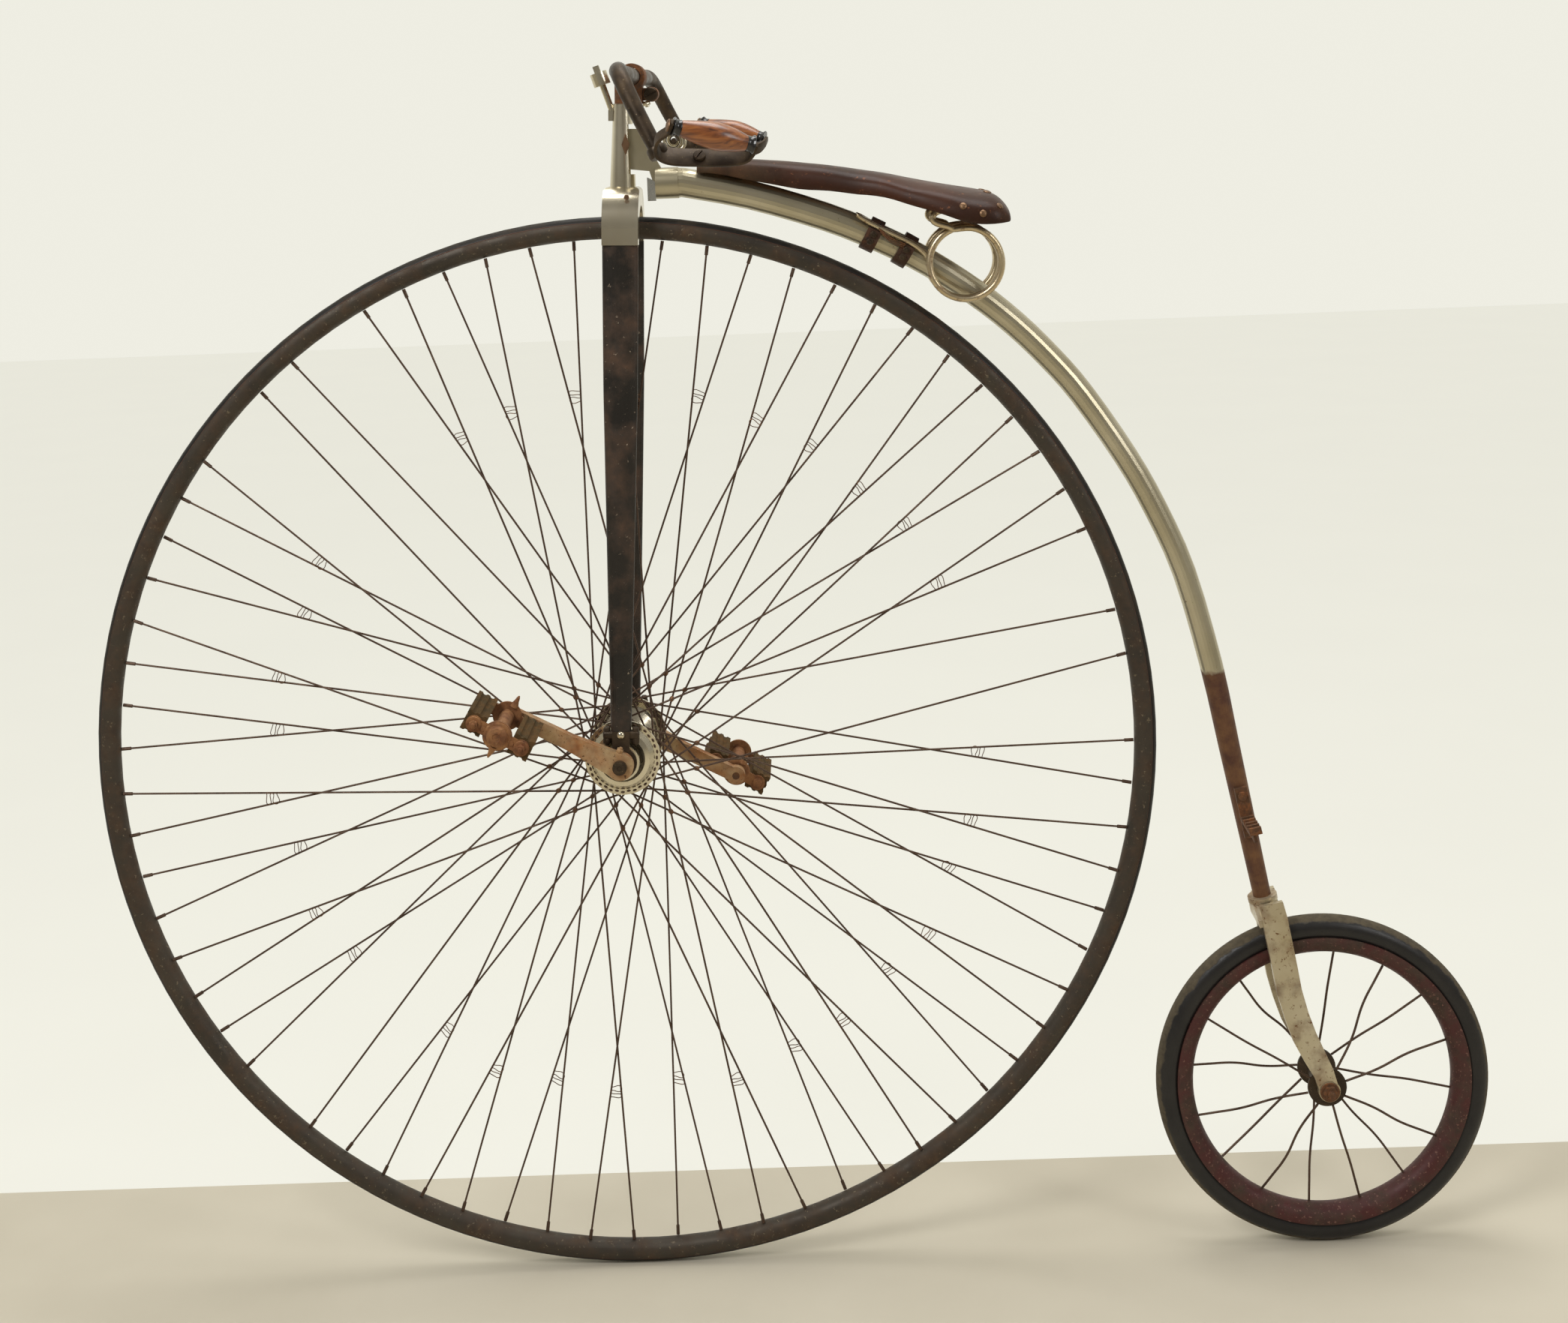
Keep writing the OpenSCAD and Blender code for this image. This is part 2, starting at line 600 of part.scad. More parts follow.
function bar_r(i) = let (t = abs(i - (len(bar_side) - 1)) / (len(bar_side) - 1)) bar_d / 2 * (1 - 0.2 * t * t);
module handlebar() {
    color([0.22, 0.18, 0.16]) steered() translate([0, 0, bar_z])
        tube(bar_path, [for (i = [0 : len(bar_path) - 1]) bar_r(i)], 16, [0.93, 0, 0.36]);
}

// D-shaped handle at each end: a steel strap under a wooden grip, leaning outward
strap_lean = 50;
strap_w = 24;
strap_t = 4;
strap_org = [bar_end[0] + 46, bar_end[1] + 6, bar_z + bar_end[2] - 2];
ferrule_len = 9;
ferrule_r = 9;
grip_line_a = [-28, 54];
grip_line_way = unit([90, -33]);
grip_full = grip_length + 2 * ferrule_len;
grip_line_b = grip_line_a + grip_full * grip_line_way;
function ribbon_side(p, s) = [for (i = [0 : len(p) - 1]) let (d = way(p, i)) p[i] + s * [-d[1], d[0]]];
module grip_frame(side) {
    steered() mirror([0, side < 0 ? 1 : 0, 0]) translate(strap_org) rotate([90 - strap_lean, 0, 0])
        children();
}
// the strap ends in two flat eyes, one against each ferrule
eye_half = 8;
eye_up = eye_half * [-grip_line_way[1], grip_line_way[0]];
eye_a = grip_line_a - (strap_t / 2 + seat_gap) * grip_line_way;
eye_b = grip_line_b + (strap_t / 2 + seat_gap) * grip_line_way;
strap_line = concat([eye_a + eye_up], smooth([eye_a - eye_up, [-45, 34], [-49, 19], [-45, 7], [-30, 0],
    [0, -2], [eye_b[0] - 26, -2], [eye_b[0] - 9, 1], eye_b - eye_up], 4), [eye_b + eye_up]);

module grip_straps() {
    color([0.3, 0.27, 0.24]) {
        for (s = [-1, 1]) difference() {
            union() {
                grip_frame(s) linear_extrude(height = strap_w, center = true)
                    polygon(concat(ribbon_side(strap_line, strap_t / 2),
                        [for (i = [len(strap_line) - 1 : -1 : 0]) ribbon_side(strap_line, -strap_t / 2)[i]]));
                at_bar_end(s) translate([0, 0, -9]) cylinder(r = bar_end_r + 3.5, h = 12);
            }
            at_bar_end(s) translate([0, 0, -60]) cylinder(r = bar_end_r + seat_gap, h = 60 + seat_gap);
        }
    }
}

module along_grip() {
    translate([grip_line_a[0], grip_line_a[1], 0]) rotate([0, 0, atan2(grip_line_way[1], grip_line_way[0])])
        rotate([0, 90, 0]) children();
}

module grips() {
    n = 12;
    color([0.55, 0.3, 0.12]) for (s = [-1, 1]) grip_frame(s) along_grip()
        translate([0, 0, ferrule_len]) rotate_extrude() polygon(concat([[0, 0]],
            [for (i = [0 : n]) [mix(ferrule_r, grip_d / 2, pow(sin(180 * i / n), 0.8)),
                grip_length * i / n]], [[0, grip_length]]));
}

module grip_ferrules() {
    color([0.06, 0.06, 0.06]) for (s = [-1, 1]) grip_frame(s) along_grip() {
        cylinder(r = ferrule_r, h = ferrule_len);
        translate([0, 0, ferrule_len + grip_length]) cylinder(r = ferrule_r, h = ferrule_len);
    }
}

// ---------------------------------------------------------------- front wheel
module front_tyre() {
    color([0.05, 0.05, 0.05]) steered() about_y(96)
        translate([front_tyre_c, 0]) circle(r = front_tyre_w / 2, $fn = 24);
}

module front_rim() {
    color([0.22, 0.2, 0.18]) steered() about_y(96) difference() {
        translate([front_rim_c, 0]) circle(r = front_rim_sec_r, $fn = 32);
        translate([front_tyre_c, 0]) circle(r = front_tyre_w / 2 + seat_gap, $fn = 32);
        translate([front_r - front_tyre_show, -30]) square([40, 60]);
    }
}

module front_hub() {
    f = flange_y;
    b = front_axle_d / 2 + run_gap;
    color([0.85, 0.82, 0.7]) steered() about_y() polygon([[b, -f - flange_t - 3],
        [b + 13, -f - flange_t - 3], [b + 16, -f - flange_t - dish_h + 2], [b + 20, -f - flange_t - dish_h],
        [b + 26, -f - flange_t - dish_h + 2], [front_flange_r - 7, -f - flange_t],
        [front_flange_r, -f - flange_t], [front_flange_r, -f], [front_flange_r - 11, -f],
        [b + 11, -f + 10], [b + 11, f - 10], [front_flange_r - 11, f], [front_flange_r, f],
        [front_flange_r, f + flange_t], [front_flange_r - 7, f + flange_t],
        [b + 26, f + flange_t + dish_h - 2], [b + 20, f + flange_t + dish_h],
        [b + 16, f + flange_t + dish_h - 2], [b + 13, f + flange_t + 3], [b, f + flange_t + 3]]);
}

module front_axle() {
    color([0.5, 0.46, 0.4]) steered() rod_y(front_axle_d / 2, -axle_end_y, axle_end_y);
}

// one spoke: from its hook on a flange to the rim, in the plane of its lacing
module front_spoke(i) {
    near = i % 4 < 2 ? -1 : 1;
    turn = i % 2 == 0 ? 1 : -1;
    a = spoke_phase + 360 / front_spoke_count * i;
    y_hook = near * (flange_y - spoke_r - seat_gap - (turn > 0 ? 0 : spoke_d + 1));
    y_rim = near * (turn > 0 ? 4.5 : 1.2);
    h = hook_r[i % 2];
    t = a + turn * acos(h / (front_rim_in - seat_gap));
    p = [h * cos(t), y_hook, h * sin(t)];
    q = [(front_rim_in - 0.6) * cos(a), y_rim, (front_rim_in - 0.6) * sin(a)];
    d = unit(q - p);
    translate(p) rotate([0, acos(d[2]), atan2(d[1], d[0])]) {
        cylinder(r = spoke_r, h = norm(q - p), $fn = 8);
        translate([0, 0, norm(q - p) - nipple_len]) cylinder(d = nipple_d, h = nipple_len, $fn = 8);
    }
    translate([p[0], near > 0 ? y_hook : -flange_y, p[2]]) rotate([-90, 0, 0])
        cylinder(r = spoke_r, h = flange_y - abs(y_hook), $fn = 8);
}

module front_spokes() {
    color([0.33, 0.24, 0.18]) steered() for (i = [0 : front_spoke_count - 1])
        if (len(search(i, lost_spokes)) == 0) front_spoke(i);
}

// ---------------------------------------------------------------- cranks and pedals
// sides: the left crank (-1) points forward and up, the right one (1) back and down
function crank_turn(side) = side > 0 ? crank_angle : 180 + crank_angle;
module at_crank(side) {
    steered() mirror([0, side > 0 ? 0 : 1, 0]) rotate([0, crank_turn(side), 0]) children();
}

module cranks() {
    color([0.6, 0.42, 0.25]) for (side = [-1, 1]) at_crank(side) difference() {
        translate([0, crank_y + crank_t, 0]) rotate([90, 0, 0]) linear_extrude(height = crank_t) union() {
            circle(r = crank_boss_r);
            polygon([[0, -crank_boss_r + 1], [0, crank_boss_r - 1], [crank_length * 0.45, crank_mid],
                [crank_length, crank_eye_r - 3], [crank_length, -crank_eye_r + 3],
                [crank_length * 0.45, -crank_mid]]);
            translate([crank_length, 0]) circle(r = crank_eye_r);
        }
        rod_y(front_axle_d / 2 + run_gap, crank_y - 1, crank_y + crank_t + 1);
        translate([crank_length, 0, 0]) rod_y(pedal_pin_d / 2 + run_gap, crank_y - 1, crank_y + crank_t + 1);
    }
}

module pedal_pins() {
    color([0.45, 0.36, 0.28]) for (side = [-1, 1]) at_crank(side) translate([crank_length, 0, 0]) {
        rod_y(pedal_pin_d / 2, crank_y, pedal_out_y + pedal_plate_t + 3);
        rod_y(pedal_pin_d / 2 + 2.5, crank_y + crank_t, pedal_in_y - 1);
        rod_y(pedal_pin_d / 2 + 2.5, pedal_out_y + pedal_plate_t + 1, pedal_out_y + pedal_plate_t + 7);
    }
}

module at_pedal(side) {
    at_crank(side) translate([crank_length, 0, 0])
        rotate([0, pedal_tilt - crank_turn(side), 0]) children();
}

module pedal_plate() {
    rotate([90, 0, 0]) linear_extrude(height = pedal_plate_t) union() {
        circle(r = 18);
        for (s = [-1, 1]) translate([s * pedal_block_x, 0]) circle(r = 10);
        square([2 * pedal_block_x, 15], center = true);
    }
}

module pedal_frame(side) {
    color([0.55, 0.28, 0.12]) at_pedal(side) difference() {
        union() {
            translate([0, pedal_in_y + pedal_plate_t, 0]) pedal_plate();
            translate([0, pedal_out_y + pedal_plate_t, 0]) pedal_plate();
            rod_y(pedal_pin_d / 2 + 4, pedal_in_y + 1, pedal_out_y + 1);
            for (s = [-1, 1]) translate([s * pedal_block_x, 0, 0]) rod_y(3, pedal_in_y - 0.6, pedal_out_y + 7);
        }
        rod_y(pedal_pin_d / 2 + run_gap, pedal_in_y - 10, pedal_out_y + 10);
    }
}

module pedal_rubbers(side) {
    h = 13;
    color([0.2, 0.19, 0.14]) at_pedal(side) for (s = [-1, 1]) translate([s * pedal_block_x, 0, 0])
        difference() {
            translate([-h, pedal_in_y + pedal_plate_t + seat_gap, -h])
                cube([2 * h, pedal_width - 2 * seat_gap, 2 * h]);
            for (k = [0 : 3]) rotate([0, 90 * k, 0]) for (x = [-5, 5])
                translate([x, 0, h + 1.5]) rod_y(3.5, pedal_in_y, pedal_out_y + pedal_plate_t);
            rod_y(3 + seat_gap, pedal_in_y, pedal_out_y + pedal_plate_t);
            rod_y(pedal_pin_d / 2 + 4 + seat_gap, pedal_in_y, pedal_out_y + pedal_plate_t);
        }
}

module left_pedal_frame() { pedal_frame(-1); }
module right_pedal_frame() { pedal_frame(1); }
module left_pedal_rubbers() { pedal_rubbers(-1); }
module right_pedal_rubbers() { pedal_rubbers(1); }

// ---------------------------------------------------------------- rear wheel
module rear_tyre() {
    color([0.09, 0.08, 0.07]) at_rear() about_y()
        translate([rear_tyre_c, 0]) circle(r = rear_tyre_w / 2);
}

module rear_rim() {
    color([0.3, 0.14, 0.11]) at_rear() about_y() difference() {
        translate([rear_rim_c, 0]) circle(r = rear_rim_sec_r);
        translate([rear_tyre_c, 0]) circle(r = rear_tyre_w / 2 + seat_gap);
        translate([rear_rim_out, -40]) square([60, 80]);
    }
}

module rear_hub() {
    f = rear_flange_y;
    b = rear_axle_d / 2 + run_gap;
    color([0.25, 0.2, 0.16]) at_rear() about_y() polygon([[b, -rear_end_y + 1.5], [9, -rear_end_y + 1.5],
        [9, -f - rear_flange_t], [rear_flange_r, -f - rear_flange_t], [rear_flange_r, -f],
        [rear_barrel_r, -f + 6], [rear_barrel_r, f - 6], [rear_flange_r, f],
        [rear_flange_r, f + rear_flange_t], [9, f + rear_flange_t], [9, rear_end_y - 1.5], [b, rear_end_y - 1.5]]);
}

module rear_spokes() {
    color([0.36, 0.28, 0.22]) at_rear() for (i = [0 : rear_spoke_count - 1]) {
        near = i % 2 == 0 ? -1 : 1;
        a = 360 * i / rear_spoke_count + 15.5;
        y0 = near * (rear_flange_y + rear_flange_t / 2);
        p = [(rear_flange_r + 0.5) * cos(a), y0, (rear_flange_r + 0.5) * sin(a)];
        q = [(rear_rim_in - 0.6) * cos(a), near * 2, (rear_rim_in - 0.6) * sin(a)];
        d = unit(q - p);
        translate(p) rotate([0, acos(d[2]), atan2(d[1], d[0])])
            cylinder(d = spoke_d + 0.6, h = norm(q - p), $fn = 8);
    }
}

backbone();
neck();
guard_plate();
rear_fork();
rear_axle();
mount_step();
saddle_leather();
saddle_frame();
saddle_springs();
spring_clips();
head();
head_bolt();
front_stud();
fork_crown();
fork_blades();
fork_bearings();
bar_lug();
handlebar();
grip_straps();
grips();
grip_ferrules();
front_tyre();
front_rim();
front_hub();
front_axle();
front_spokes();
cranks();
pedal_pins();
left_pedal_frame();
left_pedal_rubbers();
right_pedal_frame();
right_pedal_rubbers();
rear_tyre();
rear_rim();
rear_hub();
rear_spokes();
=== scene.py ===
# %% [markdown]
# # Penny farthing bicycle: the look
# The solids of the machine come ready made, to size and with their joints. This
# notebook gives them their metals, rubber, wood and leather, and adds the small
# things that make it a real one: screws, spoke ties, rivets, wire and wear.

import math

import bpy
from mathutils import Matrix, Vector


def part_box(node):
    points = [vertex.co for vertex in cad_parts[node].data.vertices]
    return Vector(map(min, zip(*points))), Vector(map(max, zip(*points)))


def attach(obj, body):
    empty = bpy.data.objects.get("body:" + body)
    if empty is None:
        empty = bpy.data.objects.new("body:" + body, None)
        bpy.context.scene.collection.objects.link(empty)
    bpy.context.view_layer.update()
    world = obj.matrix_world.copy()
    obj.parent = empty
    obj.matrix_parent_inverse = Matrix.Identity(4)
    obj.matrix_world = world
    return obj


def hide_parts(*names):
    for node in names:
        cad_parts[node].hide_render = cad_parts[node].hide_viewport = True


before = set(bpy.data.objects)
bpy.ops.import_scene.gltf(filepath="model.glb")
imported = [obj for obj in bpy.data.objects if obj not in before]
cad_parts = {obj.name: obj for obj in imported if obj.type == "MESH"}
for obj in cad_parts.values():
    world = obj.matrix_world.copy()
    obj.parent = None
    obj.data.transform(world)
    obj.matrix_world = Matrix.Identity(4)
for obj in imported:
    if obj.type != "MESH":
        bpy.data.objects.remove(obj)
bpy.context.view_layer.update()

# %% [markdown]
# ## Where things are
# The rider's seat point is the origin. Everything that turns with the steering is
# easier to place from the front hub, in a frame that leans back with the head.

# %% Places and small helpers
HUB = Vector((-0.400, 0.0, -0.720))
RAKE = math.radians(2.1)
LEAN = Matrix.Rotation(RAKE, 4, "Y")
REAR = Vector((0.4874965, 0.0, -1.1905))
GROUND = -1.406


def steered(x, y, z):
    """A point given in millimetres from the front hub, in the leaning frame."""
    return HUB + LEAN @ Vector((x, y, z)) / 1000


def from_hub(x, y, z):
    """A point given in millimetres from the front hub, upright."""
    return HUB + Vector((x, y, z)) / 1000


def at_rear(x, y, z):
    return REAR + Vector((x, y, z)) / 1000


def drop_selection():
    if bpy.context.object and bpy.context.object.mode != "OBJECT":
        bpy.ops.object.mode_set(mode="OBJECT")
    bpy.ops.object.select_all(action="DESELECT")


def only(piece):
    drop_selection()
    piece.select_set(True)
    bpy.context.view_layer.objects.active = piece


def settle(piece, name):
    """Put the object's place into its mesh, so that the object sits at the origin."""
    only(piece)
    bpy.ops.object.transform_apply(location=True, rotation=True, scale=True)
    piece.name = name
    piece.data.name = name
    return piece


drop_selection()
print("nodes ready:", len(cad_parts))

# %% [markdown]
# ## The camera
# A long lens stands nearly three metres to the left of the machine, a little above
# the saddle's height, and its frame is shifted down to take in both wheels.

# %% Camera
SENSOR_WIDE = 36.0
FRAME_WIDE, FOCAL, DROP = 2090, 2860, 582
YAW, PITCH, ROLL = math.radians(-0.68), math.radians(2.91), math.radians(-2.22)
look = Vector((math.sin(YAW) * math.cos(PITCH), math.cos(YAW) * math.cos(PITCH),
               -math.sin(PITCH)))
level = Vector((math.cos(YAW), -math.sin(YAW), 0.0))
upright = level.cross(look)
right = level * math.cos(ROLL) + upright * math.sin(ROLL)
up = upright * math.cos(ROLL) - level * math.sin(ROLL)

bpy.ops.object.camera_add(location=from_hub(263, -2742, 806))
camera = bpy.context.object
camera.name = "camera"
camera.rotation_mode = "QUATERNION"
camera.rotation_quaternion = Matrix((right, up, -look)).transposed().to_quaternion()
camera.data.sensor_width = SENSOR_WIDE
camera.data.lens = SENSOR_WIDE * FOCAL / FRAME_WIDE
camera.data.shift_y = -DROP / FRAME_WIDE
camera.data.clip_end = 60.0
bpy.context.scene.camera = camera
print("lens", round(camera.data.lens, 1), "mm")

# %% [markdown]
# ## Floor and light
# A pale concrete floor ends just behind the wheels, and a paler floor carries on
# like a studio sweep. The room is bright behind the machine and dim in front of it,
# so the nickel gets dark edges, and three soft boxes put the highlights back.

# %% Floor
SEAM_Y = 0.235


def floor_paint(name, colour, speck, rough):
    paint = bpy.data.materials.new(name)
    paint.use_nodes = True
    tree = paint.node_tree
    shader = tree.nodes["Principled BSDF"]
    where = tree.nodes.new("ShaderNodeTexCoord")
    cloud = tree.nodes.new("ShaderNodeTexNoise")
    cloud.inputs["Scale"].default_value = 2.2
    cloud.inputs["Detail"].default_value = 8.0
    tint = tree.nodes.new("ShaderNodeValToRGB")
    tint.color_ramp.elements[0].position = 0.35
    tint.color_ramp.elements[0].color = (*speck, 1)
    tint.color_ramp.elements[1].position = 0.65
    tint.color_ramp.elements[1].color = (*colour, 1)
    tree.links.new(where.outputs["Object"], cloud.inputs["Vector"])
    tree.links.new(cloud.outputs["Fac"], tint.inputs["Fac"])
    tree.links.new(tint.outputs["Color"], shader.inputs["Base Color"])
    shader.inputs["Roughness"].default_value = rough
    return paint


def lay_floor(name, y0, y1, paint):
    bpy.ops.mesh.primitive_plane_add(size=1, location=(0, (y0 + y1) / 2, GROUND))
    slab = bpy.context.object
    slab.scale = (24, y1 - y0, 1)
    settle(slab, name)
    slab.data.materials.append(paint)
    return slab


drop_selection()
concrete = floor_paint("floor_concrete", (0.60, 0.55, 0.44), (0.54, 0.49, 0.385), 0.75)
lay_floor("floor_front", -9.0, SEAM_Y, concrete)
sweep_paint = floor_paint("floor_sweep", (0.17, 0.168, 0.155), (0.16, 0.158, 0.146), 0.9)
glow = sweep_paint.node_tree.nodes["Principled BSDF"]
glow.inputs["Emission Color"].default_value = (0.86, 0.85, 0.755, 1)
glow.inputs["Emission Strength"].default_value = 0.80
lay_floor("floor_back", SEAM_Y, 12.0, sweep_paint)
print("floor height", GROUND, "seam at", SEAM_Y)

# %% [markdown]
# The world is a colour ramp along the direction front to back, so one side of every
# round tube stays dark. Area lights are soft boxes, each turned to look at a point.

# %% Light
world = bpy.data.worlds.new("studio")
bpy.context.scene.world = world
world.use_nodes = True
sky = world.node_tree
side = sky.nodes.new("ShaderNodeSeparateXYZ")
fade = sky.nodes.new("ShaderNodeValToRGB")
fade.color_ramp.elements[0].position = 0.30
fade.color_ramp.elements[0].color = (0.20, 0.19, 0.17, 1)
fade.color_ramp.elements[1].position = 0.80
fade.color_ramp.elements[1].color = (0.86, 0.85, 0.765, 1)
shift = sky.nodes.new("ShaderNodeMapRange")
shift.inputs["From Min"].default_value = -1.0
sky.links.new(sky.nodes.new("ShaderNodeTexCoord").outputs["Generated"], side.inputs[0])
sky.links.new(side.outputs["Y"], shift.inputs["Value"])
sky.links.new(shift.outputs["Result"], fade.inputs["Fac"])
sky.links.new(fade.outputs["Color"], sky.nodes["Background"].inputs["Color"])
sky.nodes["Background"].inputs["Strength"].default_value = 1.0


def soft_box(name, place, aim, wide, tall, watts):
    bpy.ops.object.light_add(type="AREA", location=place)
    box = bpy.context.object
    box.name = name
    box.data.shape = "RECTANGLE"
    box.data.size = wide
    box.data.size_y = tall
    box.data.energy = watts
    box.rotation_euler = (Vector(aim) - Vector(place)).to_track_quat("-Z", "Y").to_euler()
    return box


soft_box("key_box", (-2.2, -2.6, 2.2), (0, 0, -0.6), 1.3, 1.6, 85)
soft_box("fill_box", (2.8, -2.4, 1.2), (0.2, 0, -0.7), 1.0, 1.6, 32)
soft_box("top_box", (0.2, 0.3, 2.6), (0, 0, -0.8), 2.6, 1.4, 62)
bpy.context.scene.view_settings.view_transform = "Standard"
drop_selection()
print("soft boxes:", len(bpy.data.lights))

# %% [markdown]
# ## Finishes
# Every metal here is old. Each finish is one shader with clean and worn colours,
# and cloudy noise decides where the wear shows. The pattern is read in metres, so
# a scale of 100 gives patches about a centimetre across.

# %% The wear brush
def finish(name, clean, worn, metal=1.0, rough=(0.3, 0.7), scale=60.0, amount=0.5, edge=0.12,
           speck=None, speck_scale=400.0, speck_amount=0.62, bump=0.25, tone=None, coat=0.0,
           gloss=0.35, grainy=0.12):
    """A finish with worn patches over a clean base, and fine specks over both."""
    paint = bpy.data.materials.new(name)
    paint.use_nodes = True
    tree = paint.node_tree
    link = tree.links.new
    shader = tree.nodes["Principled BSDF"]
    where = tree.nodes.new("ShaderNodeTexCoord").outputs["Object"]

    def cloud(size, detail, roughness=0.6):
        n = tree.nodes.new("ShaderNodeTexNoise")
        n.inputs["Scale"].default_value = size
        n.inputs["Detail"].default_value = detail
        n.inputs["Roughness"].default_value = roughness
        link(where, n.inputs["Vector"])
        return n.outputs["Fac"]

    def step(fac, low, high, a=0.0, b=1.0):
        m = tree.nodes.new("ShaderNodeMapRange")
        m.inputs["From Min"].default_value = low
        m.inputs["From Max"].default_value = high
        m.inputs["To Min"].default_value = a
        m.inputs["To Max"].default_value = b
        link(fac, m.inputs["Value"])
        return m.outputs["Result"]

    def blend(fac, a, b):
        m = tree.nodes.new("ShaderNodeMix")
        m.data_type = "RGBA"
        link(fac, m.inputs["Factor"])
        for value, socket in ((a, m.inputs["A"]), (b, m.inputs["B"])):
            if isinstance(value, tuple):
                socket.default_value = (*value, 1)
            else:
                link(value, socket)
        return m.outputs["Result"]

    patches = cloud(scale, 9.0)
    if tone:
        # tone(tree, where, cloud, step) gives a 0 to 1 map that adds to the wear
        extra = tone(tree, where, cloud, step)
        add = tree.nodes.new("ShaderNodeMath")
        add.operation = "ADD"
        link(patches, add.inputs[0])
        link(extra, add.inputs[1])
        patches = add.outputs[0]
    middle = 1.0 - amount
    mask = step(patches, middle - edge, middle + edge)
    shade = cloud(scale * 0.35, 4.0)
    colour = blend(mask, blend(step(shade, 0.3, 0.7), clean[0], clean[1]),
                   blend(step(cloud(scale * 2.2, 6.0), 0.35, 0.65), worn[0], worn[1]))
    if speck:
        fleck = step(cloud(speck_scale, 5.0, 0.7), speck_amount, speck_amount + 0.05)
        colour = blend(fleck, colour, speck)
    link(colour, shader.inputs["Base Color"])
    grain = cloud(scale * 5, 5.0)
    roughness = step(mask, 0.0, 1.0, rough[0], rough[1])
    wobble = tree.nodes.new("ShaderNodeMath")
    wobble.operation = "MULTIPLY_ADD"
    link(grain, wobble.inputs[0])
    wobble.inputs[1].default_value = grainy
    link(roughness, wobble.inputs[2])
    link(wobble.outputs[0], shader.inputs["Roughness"])
    if metal > 0:
        link(step(mask, 0.0, 1.0, metal, metal * 0.25), shader.inputs["Metallic"])
    shader.inputs["Specular IOR Level"].default_value = gloss
    if coat:
        shader.inputs["Coat Weight"].default_value = coat
        shader.inputs["Coat Roughness"].default_value = 0.2
    relief = tree.nodes.new("ShaderNodeBump")
    relief.inputs["Strength"].default_value = bump
    relief.inputs["Distance"].default_value = 0.0006
    height = tree.nodes.new("ShaderNodeMath")
    height.operation = "MULTIPLY_ADD"
    link(mask, height.inputs[0])
    height.inputs[1].default_value = 0.6
    link(grain, height.inputs[2])
    link(height.outputs[0], relief.inputs["Height"])
    link(relief.outputs["Normal"], shader.inputs["Normal"])
    return paint


RUST = ((0.26, 0.10, 0.035), (0.10, 0.045, 0.022))
DARK_RUST = ((0.09, 0.045, 0.025), (0.045, 0.026, 0.018))
print("wear colours", RUST[0], DARK_RUST[0])

# %% [markdown]
# The backbone is worn nickel down to the point where its plating has gone: from
# there to the rear fork it is brown rust. The change follows the tube's height.

# %% Nickel, steel and enamel
def below(height, soft):
    """More wear under a height, in metres, with a ragged edge."""
    def tone(tree, where, cloud, step):
        split = tree.nodes.new("ShaderNodeSeparateXYZ")
        tree.links.new(where, split.inputs[0])
        return step(split.outputs["Z"], height + soft, height - soft, 0.0, 1.0)
    return tone


PLATING_ENDS = -0.655
backbone_nickel = finish("backbone_nickel", ((0.54, 0.49, 0.36), (0.40, 0.35, 0.23)),
                         ((0.085, 0.035, 0.022), (0.17, 0.080, 0.035)), metal=0.80,
                         rough=(0.30, 0.55), scale=22, amount=0.22, edge=0.07,
                         speck=(0.16, 0.10, 0.05), speck_scale=150, speck_amount=0.66,
                         tone=below(PLATING_ENDS, 0.018), bump=0.0, grainy=0.02)
bright_nickel = finish("bright_nickel", ((0.72, 0.66, 0.52), (0.56, 0.49, 0.34)),
                       ((0.20, 0.12, 0.06), (0.11, 0.06, 0.03)), metal=0.92,
                       rough=(0.20, 0.55), scale=36, amount=0.28, edge=0.08,
                       speck=(0.14, 0.085, 0.045), speck_scale=190, speck_amount=0.68,
                       bump=0.0, grainy=0.02)
fork_nickel = finish("fork_nickel", ((0.62, 0.56, 0.42), (0.46, 0.38, 0.24)),
                     ((0.26, 0.14, 0.055), (0.13, 0.065, 0.03)), metal=0.78,
                     rough=(0.28, 0.65), scale=26, amount=0.40, edge=0.12,
                     speck=(0.16, 0.075, 0.03), speck_scale=170, speck_amount=0.60, bump=0.06)
fork_enamel = finish("fork_enamel", ((0.018, 0.016, 0.014), (0.034, 0.028, 0.022)),
                     ((0.095, 0.050, 0.028), (0.050, 0.032, 0.022)), metal=0.3,
                     rough=(0.26, 0.62), scale=22, amount=0.42, edge=0.14,
                     speck=(0.34, 0.27, 0.20), speck_scale=180, speck_amount=0.65,
                     bump=0.30, coat=0.15)
rusted_steel = finish("rusted_steel", ((0.16, 0.085, 0.045), (0.075, 0.045, 0.03)), RUST,
                      metal=0.5, rough=(0.5, 0.85), scale=90, amount=0.5, edge=0.12,
                      speck=(0.34, 0.16, 0.06),
                      speck_scale=500, speck_amount=0.64, bump=0.5)
rusted_nickel = finish("rusted_nickel", ((0.62, 0.50, 0.31), (0.44, 0.28, 0.13)),
                       ((0.36, 0.145, 0.045), (0.20, 0.080, 0.032)), metal=0.62,
                       rough=(0.34, 0.8), scale=34, amount=0.53, edge=0.18,
                       speck=(0.10, 0.045, 0.022), speck_scale=210, speck_amount=0.61,
                       bump=0.35)
pedal_rust = finish("pedal_rust", ((0.38, 0.19, 0.075), (0.27, 0.115, 0.045)),
                    ((0.19, 0.068, 0.026), (0.10, 0.042, 0.02)), metal=0.35,
                    rough=(0.45, 0.8), scale=70, amount=0.48, edge=0.16,
                    speck=(0.50, 0.33, 0.16), speck_scale=300, speck_amount=0.64, bump=0.6)
